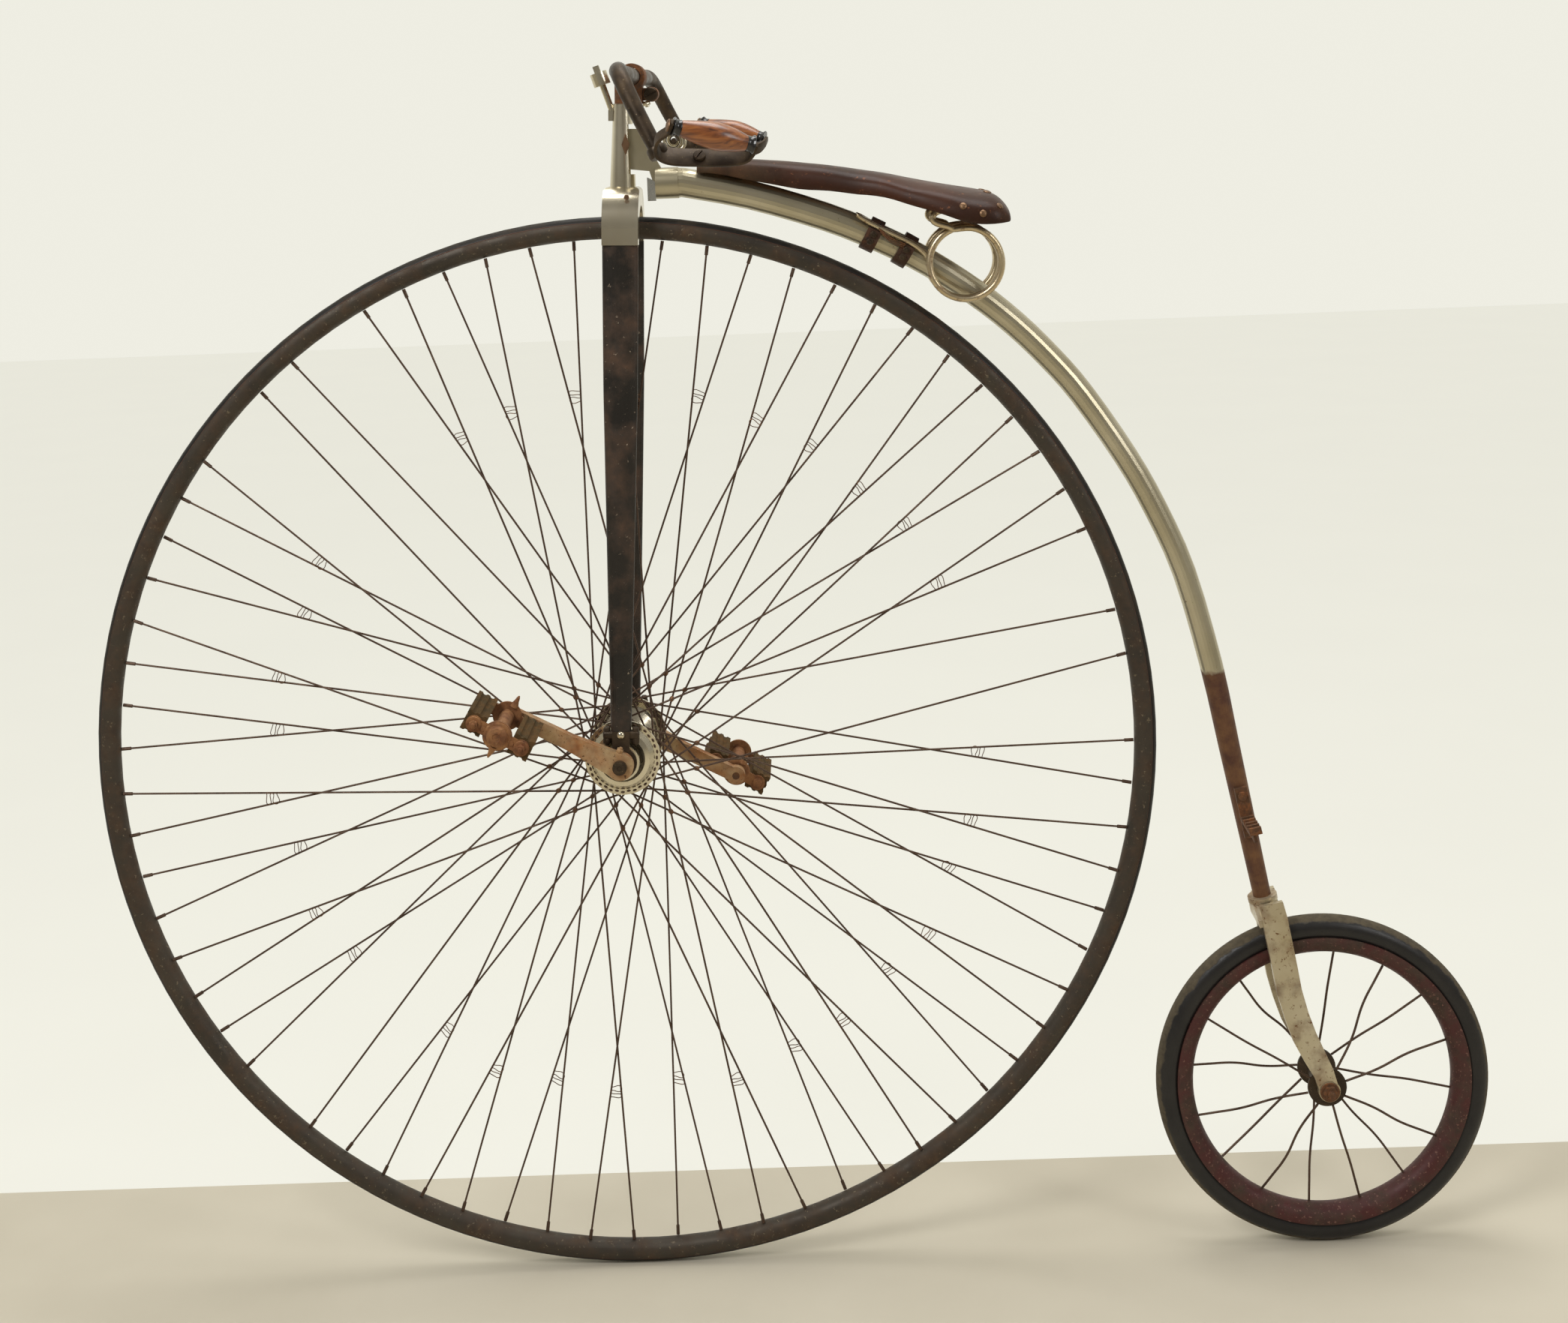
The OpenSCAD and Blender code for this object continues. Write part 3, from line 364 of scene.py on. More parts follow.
dark_steel = finish("dark_steel", ((0.062, 0.046, 0.032), (0.036, 0.027, 0.020)),
                    ((0.11, 0.072, 0.038), (0.050, 0.032, 0.019)), metal=0.7,
                    rough=(0.30, 0.62), scale=34, amount=0.44, edge=0.16,
                    speck=(0.28, 0.21, 0.12), speck_scale=220, speck_amount=0.64,
                    bump=0.2, gloss=0.20)
rim_steel = finish("rim_steel", ((0.050, 0.042, 0.034), (0.080, 0.066, 0.050)),
                   ((0.095, 0.058, 0.034), (0.055, 0.036, 0.024)), metal=0.5,
                   rough=(0.42, 0.70), scale=30, amount=0.44, edge=0.14,
                   speck=(0.19, 0.15, 0.10), speck_scale=190, speck_amount=0.62,
                   bump=0.35, gloss=0.25)
spoke_steel = finish("spoke_steel", ((0.085, 0.052, 0.036), (0.13, 0.085, 0.058)), DARK_RUST,
                     metal=0.7, rough=(0.4, 0.7), scale=70, amount=0.42, edge=0.12,
                     speck=(0.32, 0.20, 0.12),
                     speck_scale=500, speck_amount=0.68, bump=0.3)
rear_rim_enamel = finish("rear_rim_enamel", ((0.085, 0.022, 0.020), (0.055, 0.018, 0.016)),
                         ((0.075, 0.045, 0.030), (0.045, 0.028, 0.020)), metal=0.15,
                         rough=(0.42, 0.75), scale=38, amount=0.48, edge=0.12,
                         speck=(0.20, 0.10, 0.075), speck_scale=240, speck_amount=0.60,
                         bump=0.4)
spring_nickel = finish("spring_nickel", ((0.66, 0.56, 0.38), (0.50, 0.38, 0.22)),
                       ((0.22, 0.11, 0.05), (0.12, 0.06, 0.035)), metal=0.9,
                       rough=(0.25, 0.6), scale=80, amount=0.38, edge=0.06, bump=0.2)
clean_steel = finish("clean_steel", ((0.62, 0.62, 0.58), (0.52, 0.52, 0.48)), DARK_RUST,
                     metal=0.9, rough=(0.22, 0.5), scale=60, amount=0.2, edge=0.05, bump=0.1)
tyre_black = finish("tyre_black", ((0.014, 0.012, 0.010), (0.022, 0.019, 0.015)),
                    ((0.060, 0.040, 0.024), (0.036, 0.028, 0.019)), metal=0.0,
                    rough=(0.40, 0.78), scale=26, amount=0.40, edge=0.14, bump=0.25,
                    gloss=0.25)
pedal_rubber = finish("pedal_rubber", ((0.074, 0.052, 0.024), (0.046, 0.033, 0.016)),
                      ((0.15, 0.078, 0.030), (0.090, 0.052, 0.022)), metal=0.0,
                      rough=(0.72, 0.92), scale=45, amount=0.50, edge=0.16, bump=0.5, gloss=0.08)
ferrule_black = finish("ferrule_black", ((0.010, 0.009, 0.009), (0.016, 0.014, 0.013)), DARK_RUST,
                       metal=0.0, rough=(0.16, 0.5), scale=60, amount=0.2, edge=0.08,
                       bump=0.1, coat=0.5)
print("finishes made:", len(bpy.data.materials))

# %% [markdown]
# A solid that already has its right shape only needs a finish, so its slots are
# emptied and filled again. Some finishes with their own pattern come further down.

# %% Give each solid its finish
def coat_node(material, *names):
    for name in names:
        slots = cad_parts[name].data.materials
        slots.clear()
        slots.append(material)


coat_node(backbone_nickel, "backbone", "neck")
coat_node(bright_nickel, "head", "fork_crown", "front_hub", "front_stud")
coat_node(fork_nickel, "rear_fork")
coat_node(fork_enamel, "fork_blades")
coat_node(rusted_steel, "rear_axle", "mount_step", "saddle_frame", "head_bolt", "bar_lug",
          "pedal_pins")
coat_node(rusted_nickel, "cranks")
coat_node(pedal_rust, "left_pedal_frame", "right_pedal_frame")
coat_node(dark_steel, "handlebar", "grip_straps", "front_axle", "rear_hub", "fork_bearings")
coat_node(rim_steel, "front_rim")
coat_node(spoke_steel, "front_spokes", "rear_spokes")
coat_node(rear_rim_enamel, "rear_rim")
coat_node(spring_nickel, "saddle_springs")
coat_node(clean_steel, "guard_plate")
coat_node(tyre_black, "front_tyre")
coat_node(pedal_rubber, "left_pedal_rubbers", "right_pedal_rubbers")
coat_node(ferrule_black, "grip_ferrules", "grips", "saddle_leather")
print("solids to finish:", len(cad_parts))

# %% [markdown]
# ## Shop helpers
# Most of the small parts of this machine were turned on a lathe, bent from wire or
# bolted on. A lathe is a profile and a Screw modifier, wire is a bevelled curve made
# into a mesh, and a solid that only needs rounder walls is welded and subdivided.

# %% Lathe, wire and rounding
def dress(piece, body, paint, stands_for=None, angle=38):
    """Smooth a finished piece, give it its material and its body, and hide the solid it stands
    for.
    """
    only(piece)
    bpy.ops.object.shade_smooth_by_angle(angle=math.radians(angle))
    piece.data.materials.clear()
    piece.data.materials.append(paint)
    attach(piece, body)
    if stands_for:
        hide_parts(stands_for)
    return piece


def tidy_mesh(piece, gap=1e-6):
    """Weld doubled points and turn every face outwards."""
    only(piece)
    bpy.ops.object.mode_set(mode="EDIT")
    bpy.ops.mesh.select_all(action="SELECT")
    bpy.ops.mesh.remove_doubles(threshold=gap)
    bpy.ops.mesh.normals_make_consistent(inside=False)
    bpy.ops.object.mode_set(mode="OBJECT")


def apply_last(piece):
    only(piece)
    bpy.ops.object.modifier_apply(modifier=piece.modifiers[-1].name)


def turned(name, profile, at, along, steps=32):
    """Turn a profile of (radius, height) pairs in millimetres, standing at a point."""
    mesh = bpy.data.meshes.new(name)
    mesh.from_pydata([(r / 1000, 0, z / 1000) for r, z in profile],
                     [(i, i + 1) for i in range(len(profile) - 1)], [])
    piece = bpy.data.objects.new(name, mesh)
    bpy.context.collection.objects.link(piece)
    only(piece)
    bpy.ops.object.modifier_add(type="SCREW")
    lathe = piece.modifiers[-1]
    lathe.steps = lathe.render_steps = steps
    # without a small threshold, all within a centimetre of the axis shrinks onto it
    lathe.use_merge_vertices = True
    lathe.merge_threshold = 1e-6
    apply_last(piece)
    tidy_mesh(piece)
    piece.rotation_mode = "QUATERNION"
    piece.rotation_quaternion = Vector((0, 0, 1)).rotation_difference(Vector(along).normalized())
    piece.location = at
    return settle(piece, name)


def bent_wire(name, points, thick, rounds=3, radii=None):
    """A round wire through points, both ends closed."""
    curve = bpy.data.curves.new(name, "CURVE")
    curve.dimensions = "3D"
    curve.resolution_u = 8
    curve.bevel_depth = thick / 2000
    curve.bevel_resolution = rounds
    curve.use_fill_caps = True
    line = curve.splines.new("BEZIER")
    line.bezier_points.add(len(points) - 1)
    for i, (knot, place) in enumerate(zip(line.bezier_points, points)):
        knot.co = place
        knot.handle_left_type = knot.handle_right_type = "AUTO"
        knot.radius = radii[i] if radii else 1.0
    piece = bpy.data.objects.new(name, curve)
    bpy.context.collection.objects.link(piece)
    only(piece)
    bpy.ops.object.convert(target="MESH")
    piece = bpy.context.object
    tidy_mesh(piece)
    return settle(piece, name)


def rounded_copy(node, name, levels, swell):
    """The same solid with round walls: welded, back to quads, subdivided."""
    piece = bpy.data.objects.new(name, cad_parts[node].data.copy())
    bpy.context.collection.objects.link(piece)
    only(piece)
    bpy.ops.object.mode_set(mode="EDIT")
    bpy.ops.mesh.select_all(action="SELECT")
    bpy.ops.mesh.remove_doubles(threshold=1e-5)
    bpy.ops.mesh.tris_convert_to_quads(face_threshold=math.radians(60),
                                       shape_threshold=math.radians(60))
    bpy.ops.mesh.normals_make_consistent(inside=False)
    bpy.ops.transform.shrink_fatten(value=swell / 1000)
    bpy.ops.object.mode_set(mode="OBJECT")
    bpy.ops.object.modifier_add(type="SUBSURF")
    piece.modifiers[-1].levels = piece.modifiers[-1].render_levels = levels
    apply_last(piece)
    piece.name = piece.data.name = name
    return piece


def join_up(pieces, name):
    drop_selection()
    for piece in pieces:
        piece.select_set(True)
    bpy.context.view_layer.objects.active = pieces[0]
    bpy.ops.object.join()
    return settle(bpy.context.object, name)


def lean(x, y, z):
    """A direction in the leaning frame of the steering."""
    return LEAN.to_3x3() @ Vector((x, y, z))


print("lathe, wire and rounding ready")

# %% [markdown]
# A cheese-head screw is turned first and slotted by a boolean, as a saw would do. A
# nut is a cylinder of few sides with its edges bevelled, around a turned bolt end.

# %% Screws and nuts
def slotted_screw(name, radius, tall, at, along, slot_turn):
    """A cheese-head screw with its slot cut by a thin block."""
    head = turned(name, [(0, -1.5), (radius, -1.5), (radius, tall * 0.6),
                         (radius * 0.9, tall * 0.88), (radius * 0.55, tall),
                         (0, tall * 1.04)], (0, 0, 0), (0, 0, 1), 28)
    bpy.ops.mesh.primitive_cube_add(size=1, location=(0, 0, tall / 1000))
    cutter = bpy.context.object
    cutter.scale = (radius * 2.4 / 1000, radius * 0.24 / 1000, tall * 1.1 / 1000)
    cutter.rotation_euler.z = math.radians(slot_turn)
    settle(cutter, name + "_cutter")
    only(head)
    bpy.ops.object.modifier_add(type="BOOLEAN")
    head.modifiers[-1].object = cutter
    head.modifiers[-1].solver = "EXACT"
    apply_last(head)
    only(cutter)
    bpy.ops.object.delete()
    head.rotation_mode = "QUATERNION"
    head.rotation_quaternion = Vector((0, 0, 1)).rotation_difference(Vector(along).normalized())
    head.location = at
    return settle(head, name)


def nut(name, radius, tall, at, along, sides=6):
    """A nut with its corners turned down, and the bolt's round end showing."""
    bpy.ops.mesh.primitive_cylinder_add(vertices=sides, radius=radius / 1000,
                                        depth=tall / 1000, location=(0, 0, tall / 2000))
    body = bpy.context.object
    bpy.ops.object.modifier_add(type="BEVEL")
    body.modifiers[-1].width = radius * 0.09 / 1000
    body.modifiers[-1].segments = 2
    apply_last(body)
    end = turned(name + "_end", [(0, tall * 0.5), (radius * 0.5, tall * 0.5),
                                 (radius * 0.5, tall + 1.6), (radius * 0.38, tall + 2.2),
                                 (0, tall + 2.4)], (0, 0, 0), (0, 0, 1), 16)
    both = join_up([body, end], name)
    both.rotation_mode = "QUATERNION"
    both.rotation_quaternion = Vector((0, 0, 1)).rotation_difference(Vector(along).normalized())
    both.location = at
    return settle(both, name)


print("shop helpers ready")

# %% [markdown]
# ## Wood and leather
# Boxwood or rosewood grips were turned and varnished: streaks run along the grip, so
# the noise is stretched along X. Saddle hide is dark and polished by use, redder
# where the dye has worn and dusty at the nose.

# %% Grip wood
def grip_wood_paint():
    paint = bpy.data.materials.new("grip_wood")
    paint.use_nodes = True
    tree = paint.node_tree
    link = tree.links.new
    shader = tree.nodes["Principled BSDF"]
    where = tree.nodes.new("ShaderNodeTexCoord")
    along = tree.nodes.new("ShaderNodeMapping")
    along.inputs["Rotation"].default_value = (0.0, math.radians(-14), 0.0)
    along.inputs["Scale"].default_value = (14.0, 120.0, 120.0)
    link(where.outputs["Object"], along.inputs["Vector"])
    streak = tree.nodes.new("ShaderNodeTexNoise")
    streak.inputs["Scale"].default_value = 1.6
    streak.inputs["Detail"].default_value = 7.0
    streak.inputs["Distortion"].default_value = 0.35
    link(along.outputs[0], streak.inputs["Vector"])
    ramp = tree.nodes.new("ShaderNodeValToRGB")
    ramp.color_ramp.elements[0].position = 0.30
    ramp.color_ramp.elements[0].color = (0.055, 0.014, 0.004, 1)
    ramp.color_ramp.elements[1].position = 0.68
    ramp.color_ramp.elements[1].color = (0.36, 0.125, 0.028, 1)
    middle = ramp.color_ramp.elements.new(0.48)
    middle.color = (0.22, 0.066, 0.016, 1)
    link(streak.outputs["Fac"], ramp.inputs["Fac"])
    link(ramp.outputs["Color"], shader.inputs["Base Color"])
    shader.inputs["Roughness"].default_value = 0.36
    shader.inputs["Coat Weight"].default_value = 0.45
    shader.inputs["Coat Roughness"].default_value = 0.18
    relief = tree.nodes.new("ShaderNodeBump")
    relief.inputs["Strength"].default_value = 0.12
    relief.inputs["Distance"].default_value = 0.0004
    link(streak.outputs["Fac"], relief.inputs["Height"])
    link(relief.outputs["Normal"], shader.inputs["Normal"])
    return paint


grip_wood = grip_wood_paint()
print("wood nodes", len(grip_wood.node_tree.nodes))

# %% [markdown]
# The hide and its small metals use the wear brush again. The dust is a tone that
# grows towards the nose, where a rider's legs don't rub it off.

# %% Saddle hide
def in_front_of(x, soft):
    """More dust ahead of a station along the machine, in metres."""
    def tone(tree, where, cloud, step):
        split = tree.nodes.new("ShaderNodeSeparateXYZ")
        tree.links.new(where, split.inputs[0])
        return step(split.outputs["X"], x + soft, x - soft, -0.10, 0.22)
    return tone


saddle_hide = finish("saddle_hide", ((0.022, 0.010, 0.006), (0.066, 0.022, 0.010)),
                     ((0.095, 0.050, 0.024), (0.052, 0.034, 0.019)), metal=0.0, rough=(0.36, 0.60),
                     scale=22, amount=0.36, edge=0.18, speck=(0.17, 0.062, 0.026), speck_scale=130,
                     speck_amount=0.62, bump=0.45, tone=in_front_of(-0.20, 0.07),
                     coat=0.04, gloss=0.16)
rivet_metal = finish("rivet_metal", ((0.24, 0.14, 0.075), (0.14, 0.08, 0.045)), DARK_RUST,
                     metal=0.75, rough=(0.35, 0.6), scale=120, amount=0.35, bump=0.2)
clip_brown = finish("clip_brown", ((0.080, 0.040, 0.024), (0.050, 0.027, 0.018)),
                    ((0.13, 0.055, 0.026), (0.030, 0.019, 0.014)), metal=0.4,
                    rough=(0.42, 0.8), scale=60, amount=0.45, edge=0.14,
                    speck=(0.20, 0.11, 0.05), speck_scale=260, speck_amount=0.65, bump=0.5)
cement_red = finish("cement_red", ((0.10, 0.032, 0.015), (0.05, 0.022, 0.013)), DARK_RUST,
                    metal=0.0, rough=(0.5, 0.8), scale=40, amount=0.5, edge=0.2, bump=0.3)
print("hide and small metals mixed")

# %% [markdown]
# ## Saddle
# The saddle is one hide, wetted and moulded over a form, riveted at its ends. The
# solid has the right outline, so its mesh is welded and subdivided, and then the
# points are pushed a little: a ripple along the sides, the skirt drawn in at the back and a faint
# wave over all of it.

# %% Saddle hide piece
hide = rounded_copy("saddle_leather", "saddle_hide", 2, 0.25)
low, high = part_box("saddle_leather")
for point in hide.data.vertices:
    x, y, z = point.co
    back = (x - low[0]) / (high[0] - low[0])
    ripple = math.sin(back * 34) * 0.0009 + math.sin(back * 13 + 1.0) * 0.0012
    side = min(1.0, abs(y) / 0.05)
    point.co.z += ripple * side * min(1.0, back * 3)
    if back > 0.62:
        # the skirt is drawn in between its two rivets
        tuck = math.sin((back - 0.62) / 0.38 * math.pi * 2)
        point.co.y *= 1.0 - 0.012 * tuck * side
only(hide)
bpy.ops.object.modifier_add(type="DISPLACE")
grain_map = bpy.data.textures.new("hide_waves", "CLOUDS")
grain_map.noise_scale = 0.05
hide.modifiers[-1].texture = grain_map
hide.modifiers[-1].texture_coords = "LOCAL"
hide.modifiers[-1].strength = 0.0014
hide.modifiers[-1].mid_level = 0.5
apply_last(hide)
dress(hide, "frame", saddle_hide, "saddle_leather", 60)
print("hide faces", len(hide.data.polygons))

# %% [markdown]
# Domed rivets hold the hide at both ends. Each is turned on the lathe, and a ray cast
# at the hide finds the place and the direction it stands in.

# %% Saddle rivets
def on_skin(piece, start, direction):
    hit, place, normal, _ = piece.ray_cast(Vector(start), Vector(direction).normalized())
    return (place, normal) if hit else (None, None)


rivets = []
for side in (-1, 1):
    for x, z in ((0.054, -0.034), (0.078, -0.044), (0.100, -0.036), (-0.262, 0.014)):
        place, normal = on_skin(hide, (x, side * 0.3, z), (0, -side, 0))
        if place is not None:
            rivets.append(turned("rivet", [(0, -1.0), (4.6, -1.0), (4.6, 0.6), (3.9, 1.3),
                                           (1.6, 1.8), (0, 1.9)], place, normal, 16))
for x, y in ((0.088, -0.040), (0.092, 0.0), (0.088, 0.040), (-0.262, 0.0)):
    place, normal = on_skin(hide, (x, y, 0.2), (0, 0, -1))
    if place is not None:
        rivets.append(turned("rivet", [(0, -1.0), (5.2, -1.0), (5.2, 0.5), (4.2, 1.3),
                                       (1.6, 1.8), (0, 1.9)], place, normal, 16))
dress(join_up(rivets, "saddle_rivets"), "frame", rivet_metal)
print("rivets", len(rivets))

# %% [markdown]
# ## Springs and handlebar
# Both are round bars bent hot. Their solids are right but many-sided, so rounder
# copies take their places.

# %% Spring wires and bar
spring_wires = dress(rounded_copy("saddle_springs", "spring_wires", 1, 0.40), "frame",
                     spring_nickel, "saddle_springs", 60)
bent_bar = dress(rounded_copy("handlebar", "bent_bar", 1, 0.24), "fork",
                 dark_steel, "handlebar", 60)
print("faces", len(spring_wires.data.polygons), len(bent_bar.data.polygons))

# %% [markdown]
# ## Handle grips
# Each grip is a turned barrel between two black ferrules, held by a steel strap.
# The line of the grip is known in the strap's own slanted plane.

# %% Grips
STRAP = Vector((113, 303, 768))
TIP = math.radians(50)


def in_strap(side, x, y, z=0.0):
    """A point in the slanted plane of a handle, given in millimetres."""
    return steered(STRAP.x + x, side * (STRAP.y + y * math.sin(TIP) - z * math.cos(TIP)),
                   STRAP.z + y * math.cos(TIP) + z * math.sin(TIP))


FERRULE_LONG = 0.009
barrel = [(0, 0), (8.6, 0), (9.4, 1.5), (10.4, 6), (11.9, 13), (13.6, 22), (15.1, 31),
          (15.9, 39), (15.9, 45), (15.2, 53), (13.7, 61), (11.8, 69), (10.0, 75),
          (9.0, 78), (0, 78)]
ferrule = [(0, 0), (10.8, 0), (11.2, 0.8), (10.6, 1.8), (9.3, 3.2), (9.0, 5.4),
           (9.2, 8.0), (9.6, 8.6), (9.2, 9.0), (0, 9.0)]
wood, caps, rings = [], [], []
for side in (-1, 1):
    a, b = in_strap(side, -28, 54), in_strap(side, 62.1, 21)
    way = (b - a).normalized()
    wood.append(turned("grip", barrel, a + way * FERRULE_LONG, way, 44))
    caps.append(turned("cap", ferrule, a, way, 40))
    caps.append(turned("cap", ferrule, b, -way, 40))
    rings.append(turned("ring", [(0, 0), (7.4, 0), (7.8, 0.8), (7.0, 2.0), (4.6, 2.6),
                                 (0, 2.8)], a - way * 0.0045, -way, 28))
dress(join_up(wood, "grip_barrels"), "fork", grip_wood, "grips", 60)
dress(join_up(caps, "grip_caps"), "fork", ferrule_black, "grip_ferrules", 40)
dress(join_up(rings, "grip_end_rivets"), "fork", rivet_metal)
for side, name in ((-1, "left"), (1, "right")):
    face = lean(0, side * math.sin(TIP), math.cos(TIP))
    dress(slotted_screw("strap_screw_" + name, 7.2, 2.6, in_strap(side, 0, 2.0), face, 58),
          "fork", dark_steel)
print("grips turned")

# %% [markdown]
# The strap is one flat bar, drawn narrower towards its two eyes. It is lofted along
# its bend from small rectangles, and its edges are then eased with a bevel.

# %% Handle straps
# each row: along, up, and half the bar's width there, in millimetres
BEND = [(-27.4, 62.3, 3.6), (-28.8, 58.8, 6.4), (-30.6, 54.2, 7.6), (-33.4, 46.4, 6.6),
        (-45, 34, 7.2), (-49, 19, 9.0), (-45, 7, 10.8), (-30, 0, 12.0), (0, -2, 12.0),
        (36, -2, 11.6), (53, 0.5, 9.4), (61.2, 9.5, 7.0), (64.2, 17.5, 5.6),
        (65.6, 22.0, 3.4)]
HALF_THICK = 1.9


def smooth_run(rows, steps):
    """Catmull-Rom points through rows of numbers."""
    out = []
    for i in range(len(rows) - 1):
        a, b, c, d = rows[max(i - 1, 0)], rows[i], rows[i + 1], rows[min(i + 2, len(rows) - 1)]
        for k in range(steps):
            t = k / steps
            out.append(tuple(0.5 * (2 * q + (r - p) * t + (2 * p - 5 * q + 4 * r - s) * t * t
                                    + (3 * q - p - 3 * r + s) * t ** 3)
                             for p, q, r, s in zip(a, b, c, d)))
    return out + [rows[-1]]


straps = []
for side in (-1, 1):
    run = smooth_run(BEND, 5)
    points, faces = [], []
    for i, (x, y, half) in enumerate(run):
        ahead, behind = run[min(i + 1, len(run) - 1)], run[max(i - 1, 0)]
        flat = Vector((ahead[0] - behind[0], ahead[1] - behind[1])).normalized()
        for out, wide in ((-HALF_THICK, -half), (HALF_THICK, -half), (HALF_THICK, half),
                          (-HALF_THICK, half)):
            points.append(in_strap(side, x - flat.y * out, y + flat.x * out, wide))
    for i in range(len(run) - 1):
        for k in range(4):
            faces.append((4 * i + k, 4 * i + (k + 1) % 4, 4 * i + 4 + (k + 1) % 4, 4 * i + 4 + k))
    last = 4 * (len(run) - 1)
    faces += [(0, 1, 2, 3), (last, last + 1, last + 2, last + 3)]
    mesh = bpy.data.meshes.new("strap")
    mesh.from_pydata(points, [], faces)
    strap = bpy.data.objects.new("strap", mesh)
    bpy.context.collection.objects.link(strap)
    tidy_mesh(strap)
    bpy.ops.object.modifier_add(type="BEVEL")
    strap.modifiers[-1].width = 0.0009
    strap.modifiers[-1].segments = 2
    strap.modifiers[-1].limit_method = "ANGLE"
    strap.modifiers[-1].angle_limit = math.radians(50)
    apply_last(strap)
    way = lean(0.465, side * 0.214, -0.857)
    socket = turned("socket", [(0, -4), (9.1, -4), (9.1, -10), (11.2, -10), (12.0, -8.4),
                               (12.2, 0), (11.0, 2.4), (0, 3.2)],
                    steered(67, side * 297, 770), way, 36)
    straps += [strap, socket]
dress(join_up(straps, "handle_straps"), "fork", dark_steel, "grip_straps", 45)
print("straps bent")

# %% [markdown]
# ## Steering head
# The lug that carries the bar is pinched by a big slotted screw. A nickel nut hangs
# under it, and a small lozenge sits on the side of the head. Behind the neck a
# scroll of round wire finishes the front of the spring.

# %% Lug screw, nut and lozenge
dress(slotted_screw("lug_screw", 8.8, 3.2, steered(37, -15, 842), lean(0, -1, 0), 24),
      "fork", dark_steel)
dress(slotted_screw("lug_screw_far", 8.2, 2.4, steered(37, 9, 842), lean(0, 1, 0), 70),
      "fork", dark_steel)
dress(nut("lug_nut", 5.6, 6.0, steered(30, -4, 833.5), lean(0.3, 0, -1)),
      "fork", bright_nickel)
dress(slotted_screw("crown_screw", 3.4, 1.3, steered(8, -44, 712), lean(0.1, -1, 0.3), 15),
      "fork", rivet_metal)

spot = math.atan2(-13.4, 4.6)
bpy.ops.mesh.primitive_cylinder_add(vertices=4, radius=0.0125, depth=0.0016)
lozenge = bpy.context.object
bpy.ops.object.modifier_add(type="BEVEL")
lozenge.modifiers[-1].width = 0.0004
apply_last(lozenge)
lozenge.scale = (1.15, 0.42, 1.0)
turn = Matrix((lean(0, 0, 1), lean(-math.sin(spot), math.cos(spot), 0),
               lean(math.cos(spot), math.sin(spot), 0))).transposed()
lozenge.rotation_mode = "QUATERNION"
lozenge.rotation_quaternion = turn.to_quaternion()
lozenge.location = steered(14.3 * math.cos(spot), 14.3 * math.sin(spot), 778)
settle(lozenge, "head_lozenge")
tidy_mesh(lozenge)
dress(lozenge, "fork", rivet_metal)
print("lozenge faces", len(lozenge.data.polygons))

# %% [markdown]
# The scroll is a spiral that also drifts sideways a little, so its turns stay clear
# of each other. A pin goes through its middle.

# %% Nose scroll
coil = []
for k in range(27):
    a = math.radians(-70 + 30 * k)
    r = 15.0 - 0.42 * k
    coil.append(from_hub(94 + r * math.cos(a), -6 + 0.42 * k, 780 + r * math.sin(a)))
tail = [from_hub(112, -6, 752), from_hub(104, -6, 759)]
dress(bent_wire("nose_scroll", tail + coil, 5.2, 3), "frame", bright_nickel, None, 60)
dress(turned("scroll_pin", [(0, -10), (3.2, -10), (3.2, 10), (2.4, 11), (0, 11)],
             from_hub(94, 0, 780), (0, 1, 0), 20), "frame", dark_steel)
print("head dressed")

# %% [markdown]
# ## Spring clips
# Two steel bands grip the backbone. Each has bolt lugs, and a thin steel wire has
# been wound between them to stop the springs from creeping.

# %% Clip bolts and tie wire
CLIPS = [(342.6, 649.8, 62.2), (383.7, 628.6, 58.6)]
bolts = []
for x, z, angle in CLIPS:
    for side in (-1, 1):
        for drop in (-8, 2):
            a = math.radians(angle)
            place = from_hub(x + drop * math.cos(a), side * 23.0, z + drop * math.sin(a))
            bolts.append(nut("bolt", 4.6, 3.6, place, (0, side, 0)))
coat_node(clip_brown, "spring_clips")
dress(join_up(bolts, "clip_bolts"), "frame", dark_steel)
strands = []
for j in range(3):
    path = [from_hub(CLIPS[0][0] + 10 - j, -25.0 - j * 0.9, CLIPS[0][1] + 5 + 2.2 * j),
            from_hub(366 + j, -27.2 - (j % 2), 641 + 2 * j),
            from_hub(CLIPS[1][0] - 2 + j, -25.0 - j * 0.8, CLIPS[1][1] + 5 + 2 * j)]
    strands.append(bent_wire("strand", path, 1.6, 2))
dress(join_up(strands, "clip_wire"), "frame", rusted_steel)
print("clip bolts", len(bolts), "strands", len(strands))

# %% [markdown]
# ## Front hub
# The fork ends in a bearing with a milled adjusting ring and a clamp. The spokes
# hook through slots near the rim of each flange, and their ends show as dark dashes.

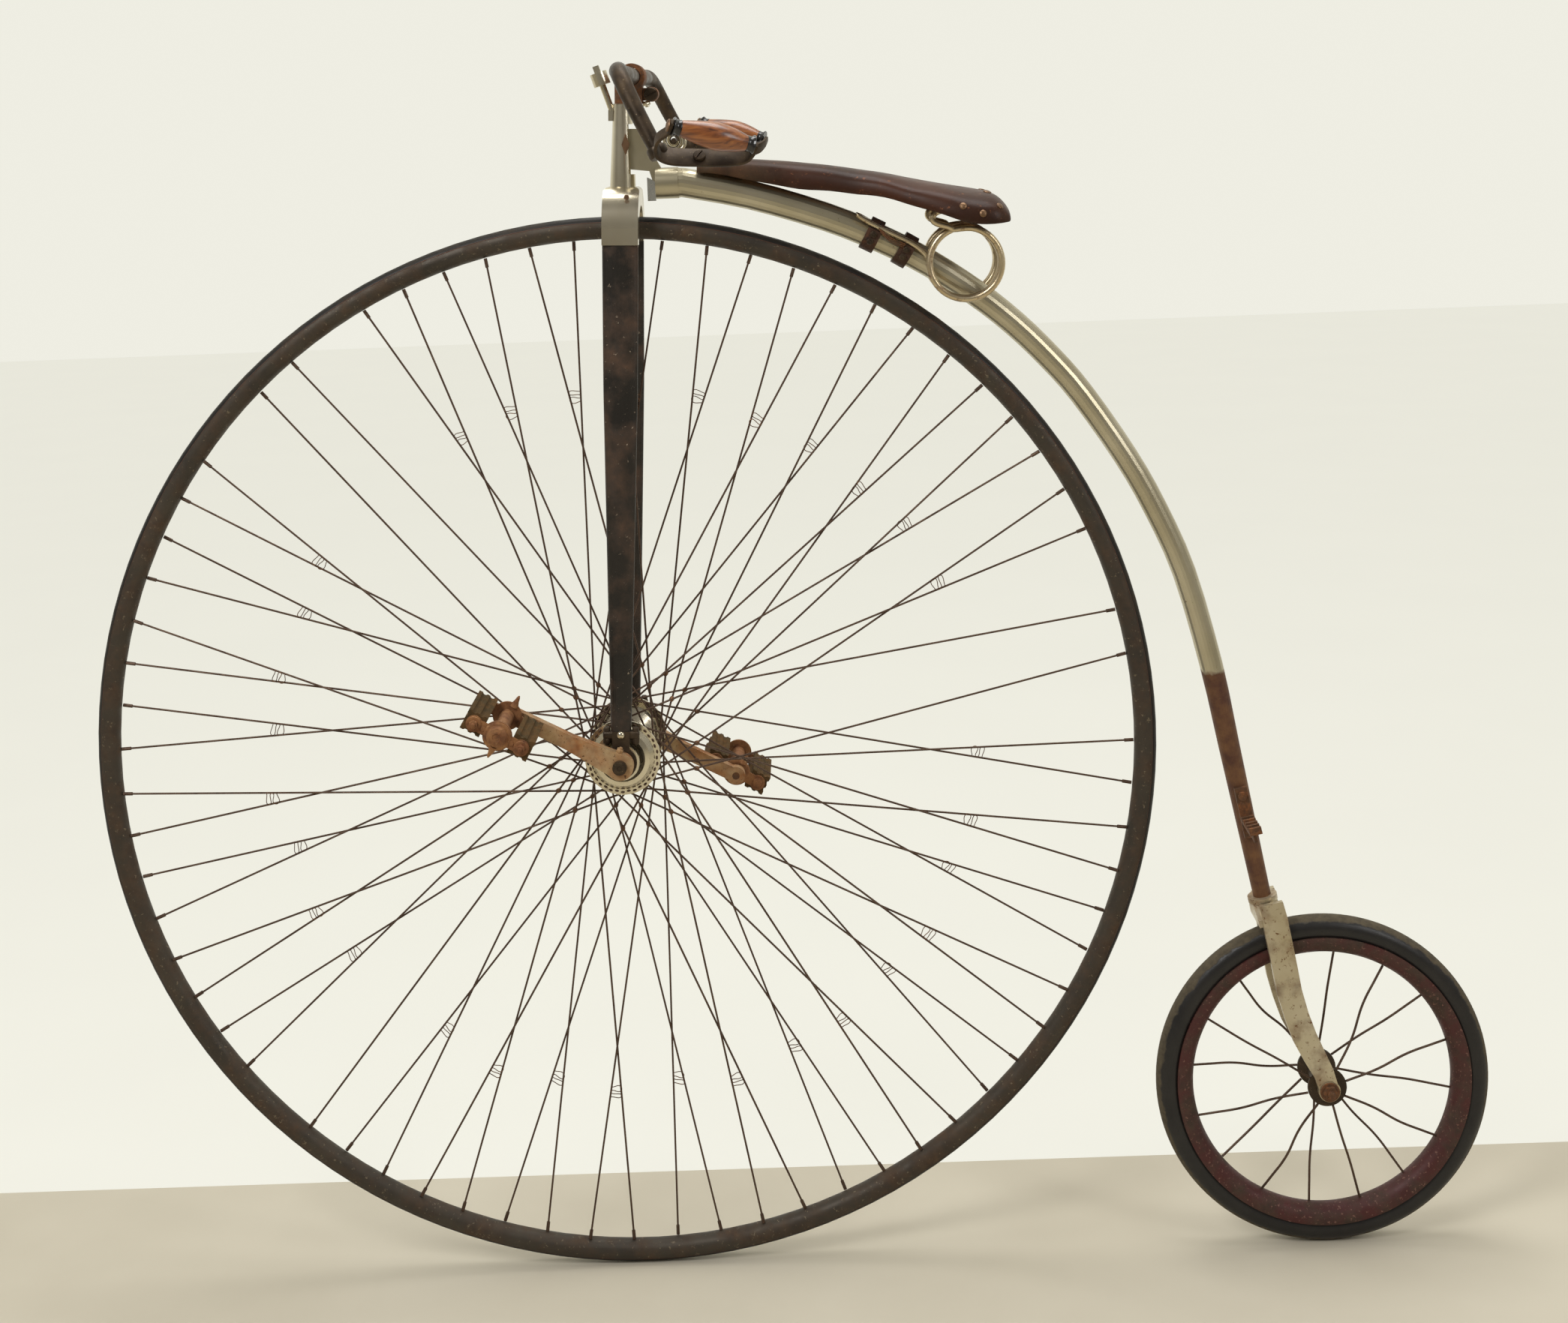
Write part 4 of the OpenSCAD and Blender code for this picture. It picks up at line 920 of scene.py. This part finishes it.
# %% Milled rings and clamps
for side, name in ((-1, "left"), (1, "right")):
    ring = turned("milled_ring_" + name, [(19.9, 0), (23.0, 0), (23.6, 0.7), (23.6, 4.3),
                                          (23.0, 5), (19.9, 5), (19.9, 0)],
                  (0, 0, 0), (0, 0, 1), 144)
    for point in ring.data.vertices:
        r = math.hypot(point.co.x, point.co.y)
        if r > 0.0225:
            place = round(math.degrees(math.atan2(point.co.y, point.co.x)) / 2.5)
            tooth = 0.965 if place % 2 else 1.0
            point.co.x *= tooth
            point.co.y *= tooth
    ring.rotation_mode = "QUATERNION"
    ring.rotation_quaternion = Vector((0, 0, 1)).rotation_difference(lean(0, side, 0))
    ring.location = steered(0, side * 73.5, 0)
    settle(ring, "milled_ring_" + name)
    dress(ring, "fork", bright_nickel)

    bpy.ops.mesh.primitive_cube_add(size=1, location=(0, 0, 0))
    clamp = bpy.context.object
    clamp.scale = (0.046, 0.0115, 0.010)
    bpy.ops.object.transform_apply(scale=True)
    bpy.ops.object.modifier_add(type="BEVEL")
    clamp.modifiers[-1].width = 0.003
    clamp.modifiers[-1].segments = 3
    apply_last(clamp)
    clamp.rotation_euler = (0, RAKE, 0)
    clamp.location = steered(0, side * 74, 35)
    settle(clamp, "bearing_clamp")
    parts = [clamp]
    for x in (-18, 18):
        parts.append(nut("nut", 5.4, 7, steered(x, side * 74, 31), lean(0, 0, -1)))
        parts.append(turned("stud", [(0, 0), (4.4, 0), (4.4, 3), (3.4, 5), (0, 5.5)],
                            steered(x, side * 74, 39.5), lean(0, 0, 1), 16))
    dress(join_up(parts, "bearing_clamp_" + name), "fork", dark_steel)
    dress(turned("clamp_bolt_" + name, [(0, -2), (5.0, -2), (5.0, 1.6), (4.0, 3.4),
                                        (1.8, 4.4), (0, 4.6)],
                 steered(0, side * 80, 36), lean(0, side, 0), 24),
          "fork", bright_nickel)
print("bearings clamped")

# %% [markdown]
# The wheel had 72 spokes, and five are lost. The same rule that lays out the spokes
# gives where each one starts and stops, for the ties and bindings further down.

# %% Spoke ends and axle ends
SPOKES, LOST = 72, (0, 3, 24, 27, 44)
FLANGE_Y, RIM_IN = 53.0, 657.4


def spoke_ends(i):
    """Where a front spoke starts, where it meets the rim, and its side."""
    near = -1 if i % 4 < 2 else 1
    lead = 1 if i % 2 == 0 else -1
    a = math.radians(5.6 + 5.0 * i)
    hook = (44.0, 40.0)[i % 2]
    t = a + lead * math.acos(hook / (RIM_IN - 0.3))
    y = near * (FLANGE_Y - 1.6 - (0 if lead > 0 else 3.6))
    return (Vector((hook * math.cos(t), y, hook * math.sin(t))),
            Vector((RIM_IN * math.cos(a), near * (4.5 if lead > 0 else 1.2),
                    RIM_IN * math.sin(a))), near)


bpy.ops.mesh.primitive_uv_sphere_add(segments=10, ring_count=6, radius=0.001)
pattern = bpy.context.object
pattern.scale = (1.5, 2.7, 1.1)
settle(pattern, "spoke_end_pattern")
ends = []
for i in range(SPOKES // 2):
    for side in (-1, 1):
        a = math.radians(10.0 * i + (5.0 if side > 0 else 0))
        r = 44.6 if i % 2 else 43.4
        end = pattern.copy()
        end.data = pattern.data.copy()
        bpy.context.collection.objects.link(end)
        turn = Matrix((lean(math.cos(a), 0, math.sin(a)), lean(-math.sin(a), 0, math.cos(a)),
                       lean(0, -1, 0))).transposed()
        end.rotation_mode = "QUATERNION"
        end.rotation_quaternion = turn.to_quaternion()
        end.location = steered(r * math.cos(a), side * (FLANGE_Y + 3.2), r * math.sin(a))
        ends.append(end)
only(pattern)
bpy.ops.object.delete()
dress(join_up(ends, "spoke_hooks"), "front_wheel", spoke_steel)

for side, name in ((-1, "left"), (1, "right")):
    dress(turned("axle_end_" + name, [(0, -2), (7.9, -2), (7.9, -0.4), (7.2, 0.5),
                                      (3.2, 0.9), (2.6, -0.4), (0, -1.6)],
                 steered(0, side * 103, 0), lean(0, side, 0), 32),
          "front_wheel", dark_steel)
    a = math.radians(26 if side > 0 else 206)
    # the crank points along (cos a, -sin a); the cotter passes beside the axle
    out = Vector((math.cos(a), 0, -math.sin(a)))
    over = Vector((out.z, 0, -out.x))
    at = out * 9 + over * 15.0
    dress(nut("cotter_nut_" + name, 4.6, 5.0, steered(at.x, side * 92, at.z),
              lean(over.x, 0, over.z)), "front_wheel", rusted_nickel)
print("hub dressed")

# %% [markdown]
# ## Spoke wires
# Old tangent wheels were stiffened with fine copper wire. Neighbouring spokes are
# tied in pairs well inside the rim, and bound where they cross near the hub.

# %% Ties and bindings
def on_spoke(i, radius):
    start, stop, _ = spoke_ends(i)
    low, high = 0.0, 1.0
    for _ in range(30):
        mid = (low + high) / 2
        p = start.lerp(stop, mid)
        if math.hypot(p.x, p.z) < radius:
            low = mid
        else:
            high = mid
    return start.lerp(stop, low)


ties, binds = [], []
for i in range(0, SPOKES, 2):
    if i in LOST or i + 1 in LOST:
        continue
    shift = (i * 7) % 11 - 5
    corners = []
    for radius, spoke in ((462, i), (462, i + 1), (455, i), (455, i + 1), (449, i + 1),
                          (449, i)):
        p = on_spoke(spoke, radius + shift)
        corners.append(steered(p.x, p.y - 1.6 if p.y < 0 else p.y + 1.6, p.z))
    ties.append(bent_wire("tie", corners, 1.1, 1))
for i in range(0, SPOKES, 2):
    for gap in (9, 17):
        j = (i + gap) % SPOKES
        if j % 2 == 0 or i in LOST or j in LOST:
            continue
        p0, p1, near_i = spoke_ends(i)
        q0, q1, near_j = spoke_ends(j)
        if near_i != near_j:
            continue
        d, e = p1 - p0, q1 - q0
        det = d.x * e.z - d.z * e.x
        if abs(det) < 1e-6:
            continue
        t = ((q0.x - p0.x) * e.z - (q0.z - p0.z) * e.x) / det
        u = ((q0.x - p0.x) * d.z - (q0.z - p0.z) * d.x) / det
        if 0 < t < 1 and 0 < u < 1:
            m = (p0 + d * t + q0 + e * u) / 2
            if 75 < math.hypot(m.x, m.z) < 420:
                bind = [(0, -3.4), (2.4, -3.2), (3.1, -1.2), (3.1, 1.2), (2.4, 3.2),
                        (0, 3.4)]
                binds.append(turned("bind", bind, steered(m.x, m.y, m.z),
                                    lean(d.x + e.x, d.y + e.y, d.z + e.z), 8))
tie_copper = finish("tie_copper", ((0.20, 0.10, 0.05), (0.11, 0.055, 0.03)), DARK_RUST,
                    metal=0.7, rough=(0.4, 0.7), scale=90, amount=0.4, bump=0.2)
dress(join_up(ties, "spoke_ties"), "front_wheel", tie_copper, None, 60)
dress(join_up(binds, "spoke_bindings"), "front_wheel", tie_copper, None, 60)
print("ties", len(ties), "bindings", len(binds))

# %% [markdown]
# ## Tyres
# Solid rubber was cemented into the rim, and a line of the reddish cement still
# shows along both edges. On the small wheel the tread has gone brown and dry.

# %% Cement lines
for side, name in ((-1, "left"), (1, "right")):
    bead = [(678.9 + math.cos(math.radians(60 * k)), math.sin(math.radians(60 * k)))
            for k in range(7)]
    ring = turned("cement_line_" + name, bead, steered(0, side * 10.5, 0), lean(0, 1, 0), 180)
    dress(ring, "front_wheel", cement_red, None, 60)
print("cement faces", len(ring.data.polygons))

# %% [markdown]
# The small tyre keeps its black on the flanks only. The tread's brown is a tone that
# follows the distance from the wheel's middle plane, so it stays put as it turns.

# %% Rear tyre
def on_tread(half, soft):
    """More wear within a distance of the wheel's middle plane, in metres."""
    def tone(tree, where, cloud, step):
        split = tree.nodes.new("ShaderNodeSeparateXYZ")
        tree.links.new(where, split.inputs[0])
        size = tree.nodes.new("ShaderNodeMath")
        size.operation = "ABSOLUTE"
        tree.links.new(split.outputs["Y"], size.inputs[0])
        return step(size.outputs[0], half + soft, half - soft, -0.08, 0.5)
    return tone


TREAD_HALF = 0.0112
rear_rubber = finish("rear_rubber", ((0.012, 0.011, 0.011), (0.022, 0.020, 0.018)),
                     ((0.10, 0.080, 0.050), (0.065, 0.052, 0.034)), metal=0.0,
                     rough=(0.30, 0.85), scale=60, amount=0.36, edge=0.08, bump=0.4,
                     tone=on_tread(TREAD_HALF, 0.003))
coat_node(rear_rubber, "rear_tyre")
print("brown tread", 2000 * TREAD_HALF, "mm wide")

# %% [markdown]
# The small wheel's spokes are thick iron wires, and years of knocks have bowed most
# of them. Each is a curve through five points with a little sway of its own.

# %% Rear spokes
HUB_R, RIM_R = 25.5, 167.4
HUB_Y, RIM_Y = 29.5, 2
SWAY = (2.6, -1.2, 3.4, 0.6, -2.2, 4.0, 1.0, -3.0, 2.2, 0.4, 3.6, -1.6, 0.8, 2.8, -2.4, 1.4)
wires = []
for i, sway in enumerate(SWAY):
    near = -1 if i % 2 == 0 else 1
    a = math.radians(22.5 * i + 15.5)
    out = Vector((math.cos(a), 0, math.sin(a)))
    across = Vector((-math.sin(a), 0, math.cos(a)))
    knots = []
    for share, bow in ((0, 0), (0.3, -0.5), (0.62, 1.0), (0.86, 0.45), (1, 0)):
        r = HUB_R + (RIM_R - HUB_R) * share
        knots.append(at_rear(0, near * (HUB_Y + (RIM_Y - HUB_Y) * share), 0)
                     + (out * r + across * sway * bow) / 1000)
    wires.append(bent_wire("wire", knots, 3.1, 2))
dress(join_up(wires, "rear_spoke_wires"), "rear_wheel", spoke_steel,
      "rear_spokes", 60)
print("rear spokes", len(wires))

# %% [markdown]
# ## Pedals
# Each pedal has two rubber blocks on bolts between cast end plates, with pointed
# toe pegs. The bolts end in nuts, and a turned cap keeps the dirt out of the bearing.

# %% Pedal nuts, caps and pegs
PEDALS = {"left": (Vector((-0.5367297, 0, -0.6469932)), -1),
          "right": (Vector((-0.2632703, 0, -0.7930068)), 1)}
SLANT = math.radians(30.1)
OUTER, INNER = 194, 104
for name, (pin, side) in PEDALS.items():
    def at_pedal(x, y, z):
        return pin + Vector((x * math.cos(SLANT) + z * math.sin(SLANT), side * y,
                             -x * math.sin(SLANT) + z * math.cos(SLANT))) / 1000

    trims = []
    for x in (-32, 32):
        trims.append(turned("washer", [(0, -0.5), (9.2, -0.5), (9.4, 0.5), (8.6, 1.4),
                                       (6.2, 1.8), (0, 1.8)],
                            at_pedal(x, OUTER, 0), (0, side, 0), 24))
        trims.append(nut("nut", 5.6, 4.6, at_pedal(x, OUTER + 1.4, 0), (0, side, 0)))
        trims.append(turned("rivet", [(0, -0.5), (6.6, -0.5), (6.6, 0.8), (5.0, 1.8),
                                      (0, 2.2)], at_pedal(x, INNER, 0), (0, -side, 0), 20))
    for x in (-19, 19):
        trims.append(turned("pip", [(0, -0.5), (3.4, -0.5), (3.0, 1.2), (0, 1.6)],
                            at_pedal(x, OUTER, 0), (0, side, 0), 14))
    trims.append(turned("cap", [(0, -1), (17.0, -1), (17.2, 0.6), (15.8, 1.6), (13.2, 2.0),
                                (12.6, 4.6), (12.0, 6.8), (10.4, 8.0), (5.2, 8.6),
                                (4.4, 7.6), (0, 7.4)],
                        at_pedal(0, OUTER, 0), (0, side, 0), 40))
    trims.append(turned("collar", [(0, -3), (17.5, -3), (17.8, 0.4), (16.6, 1.2), (13, 1.6),
                                   (9.2, 1.6)], at_pedal(0, INNER + 0.4, 0), (0, -side, 0), 36))
    for y, up in ((OUTER - 1.5, -1), (INNER + 1.5, 1)):
        base = at_pedal(2, y, up * 14)
        trims.append(turned("peg", [(0, 0), (5.6, 0), (4.4, 4), (2.9, 8), (2.2, 12),
                                    (0.9, 15), (0, 15.4)], base,
                            at_pedal(2, y, up * 30) - base, 14))
    dress(join_up(trims, name + "_pedal_trim"), name + "_pedal", pedal_rust)
print("pedals dressed")

# %% [markdown]
# ## Rear axle
# The nuts of the rear axle bear on plain turned washers.

# %% Rear washers
pads = []
for side in (-1, 1):
    pads.append(turned("washer", [(4.7, 0), (12.4, 0), (12.6, 0.8), (12.0, 1.6), (4.7, 1.6),
                                  (4.7, 0)], at_rear(0, side * 44.9, 0), (0, side, 0), 32))
dress(join_up(pads, "rear_washers"), "frame", rusted_steel)
print("rear washers", len(pads))
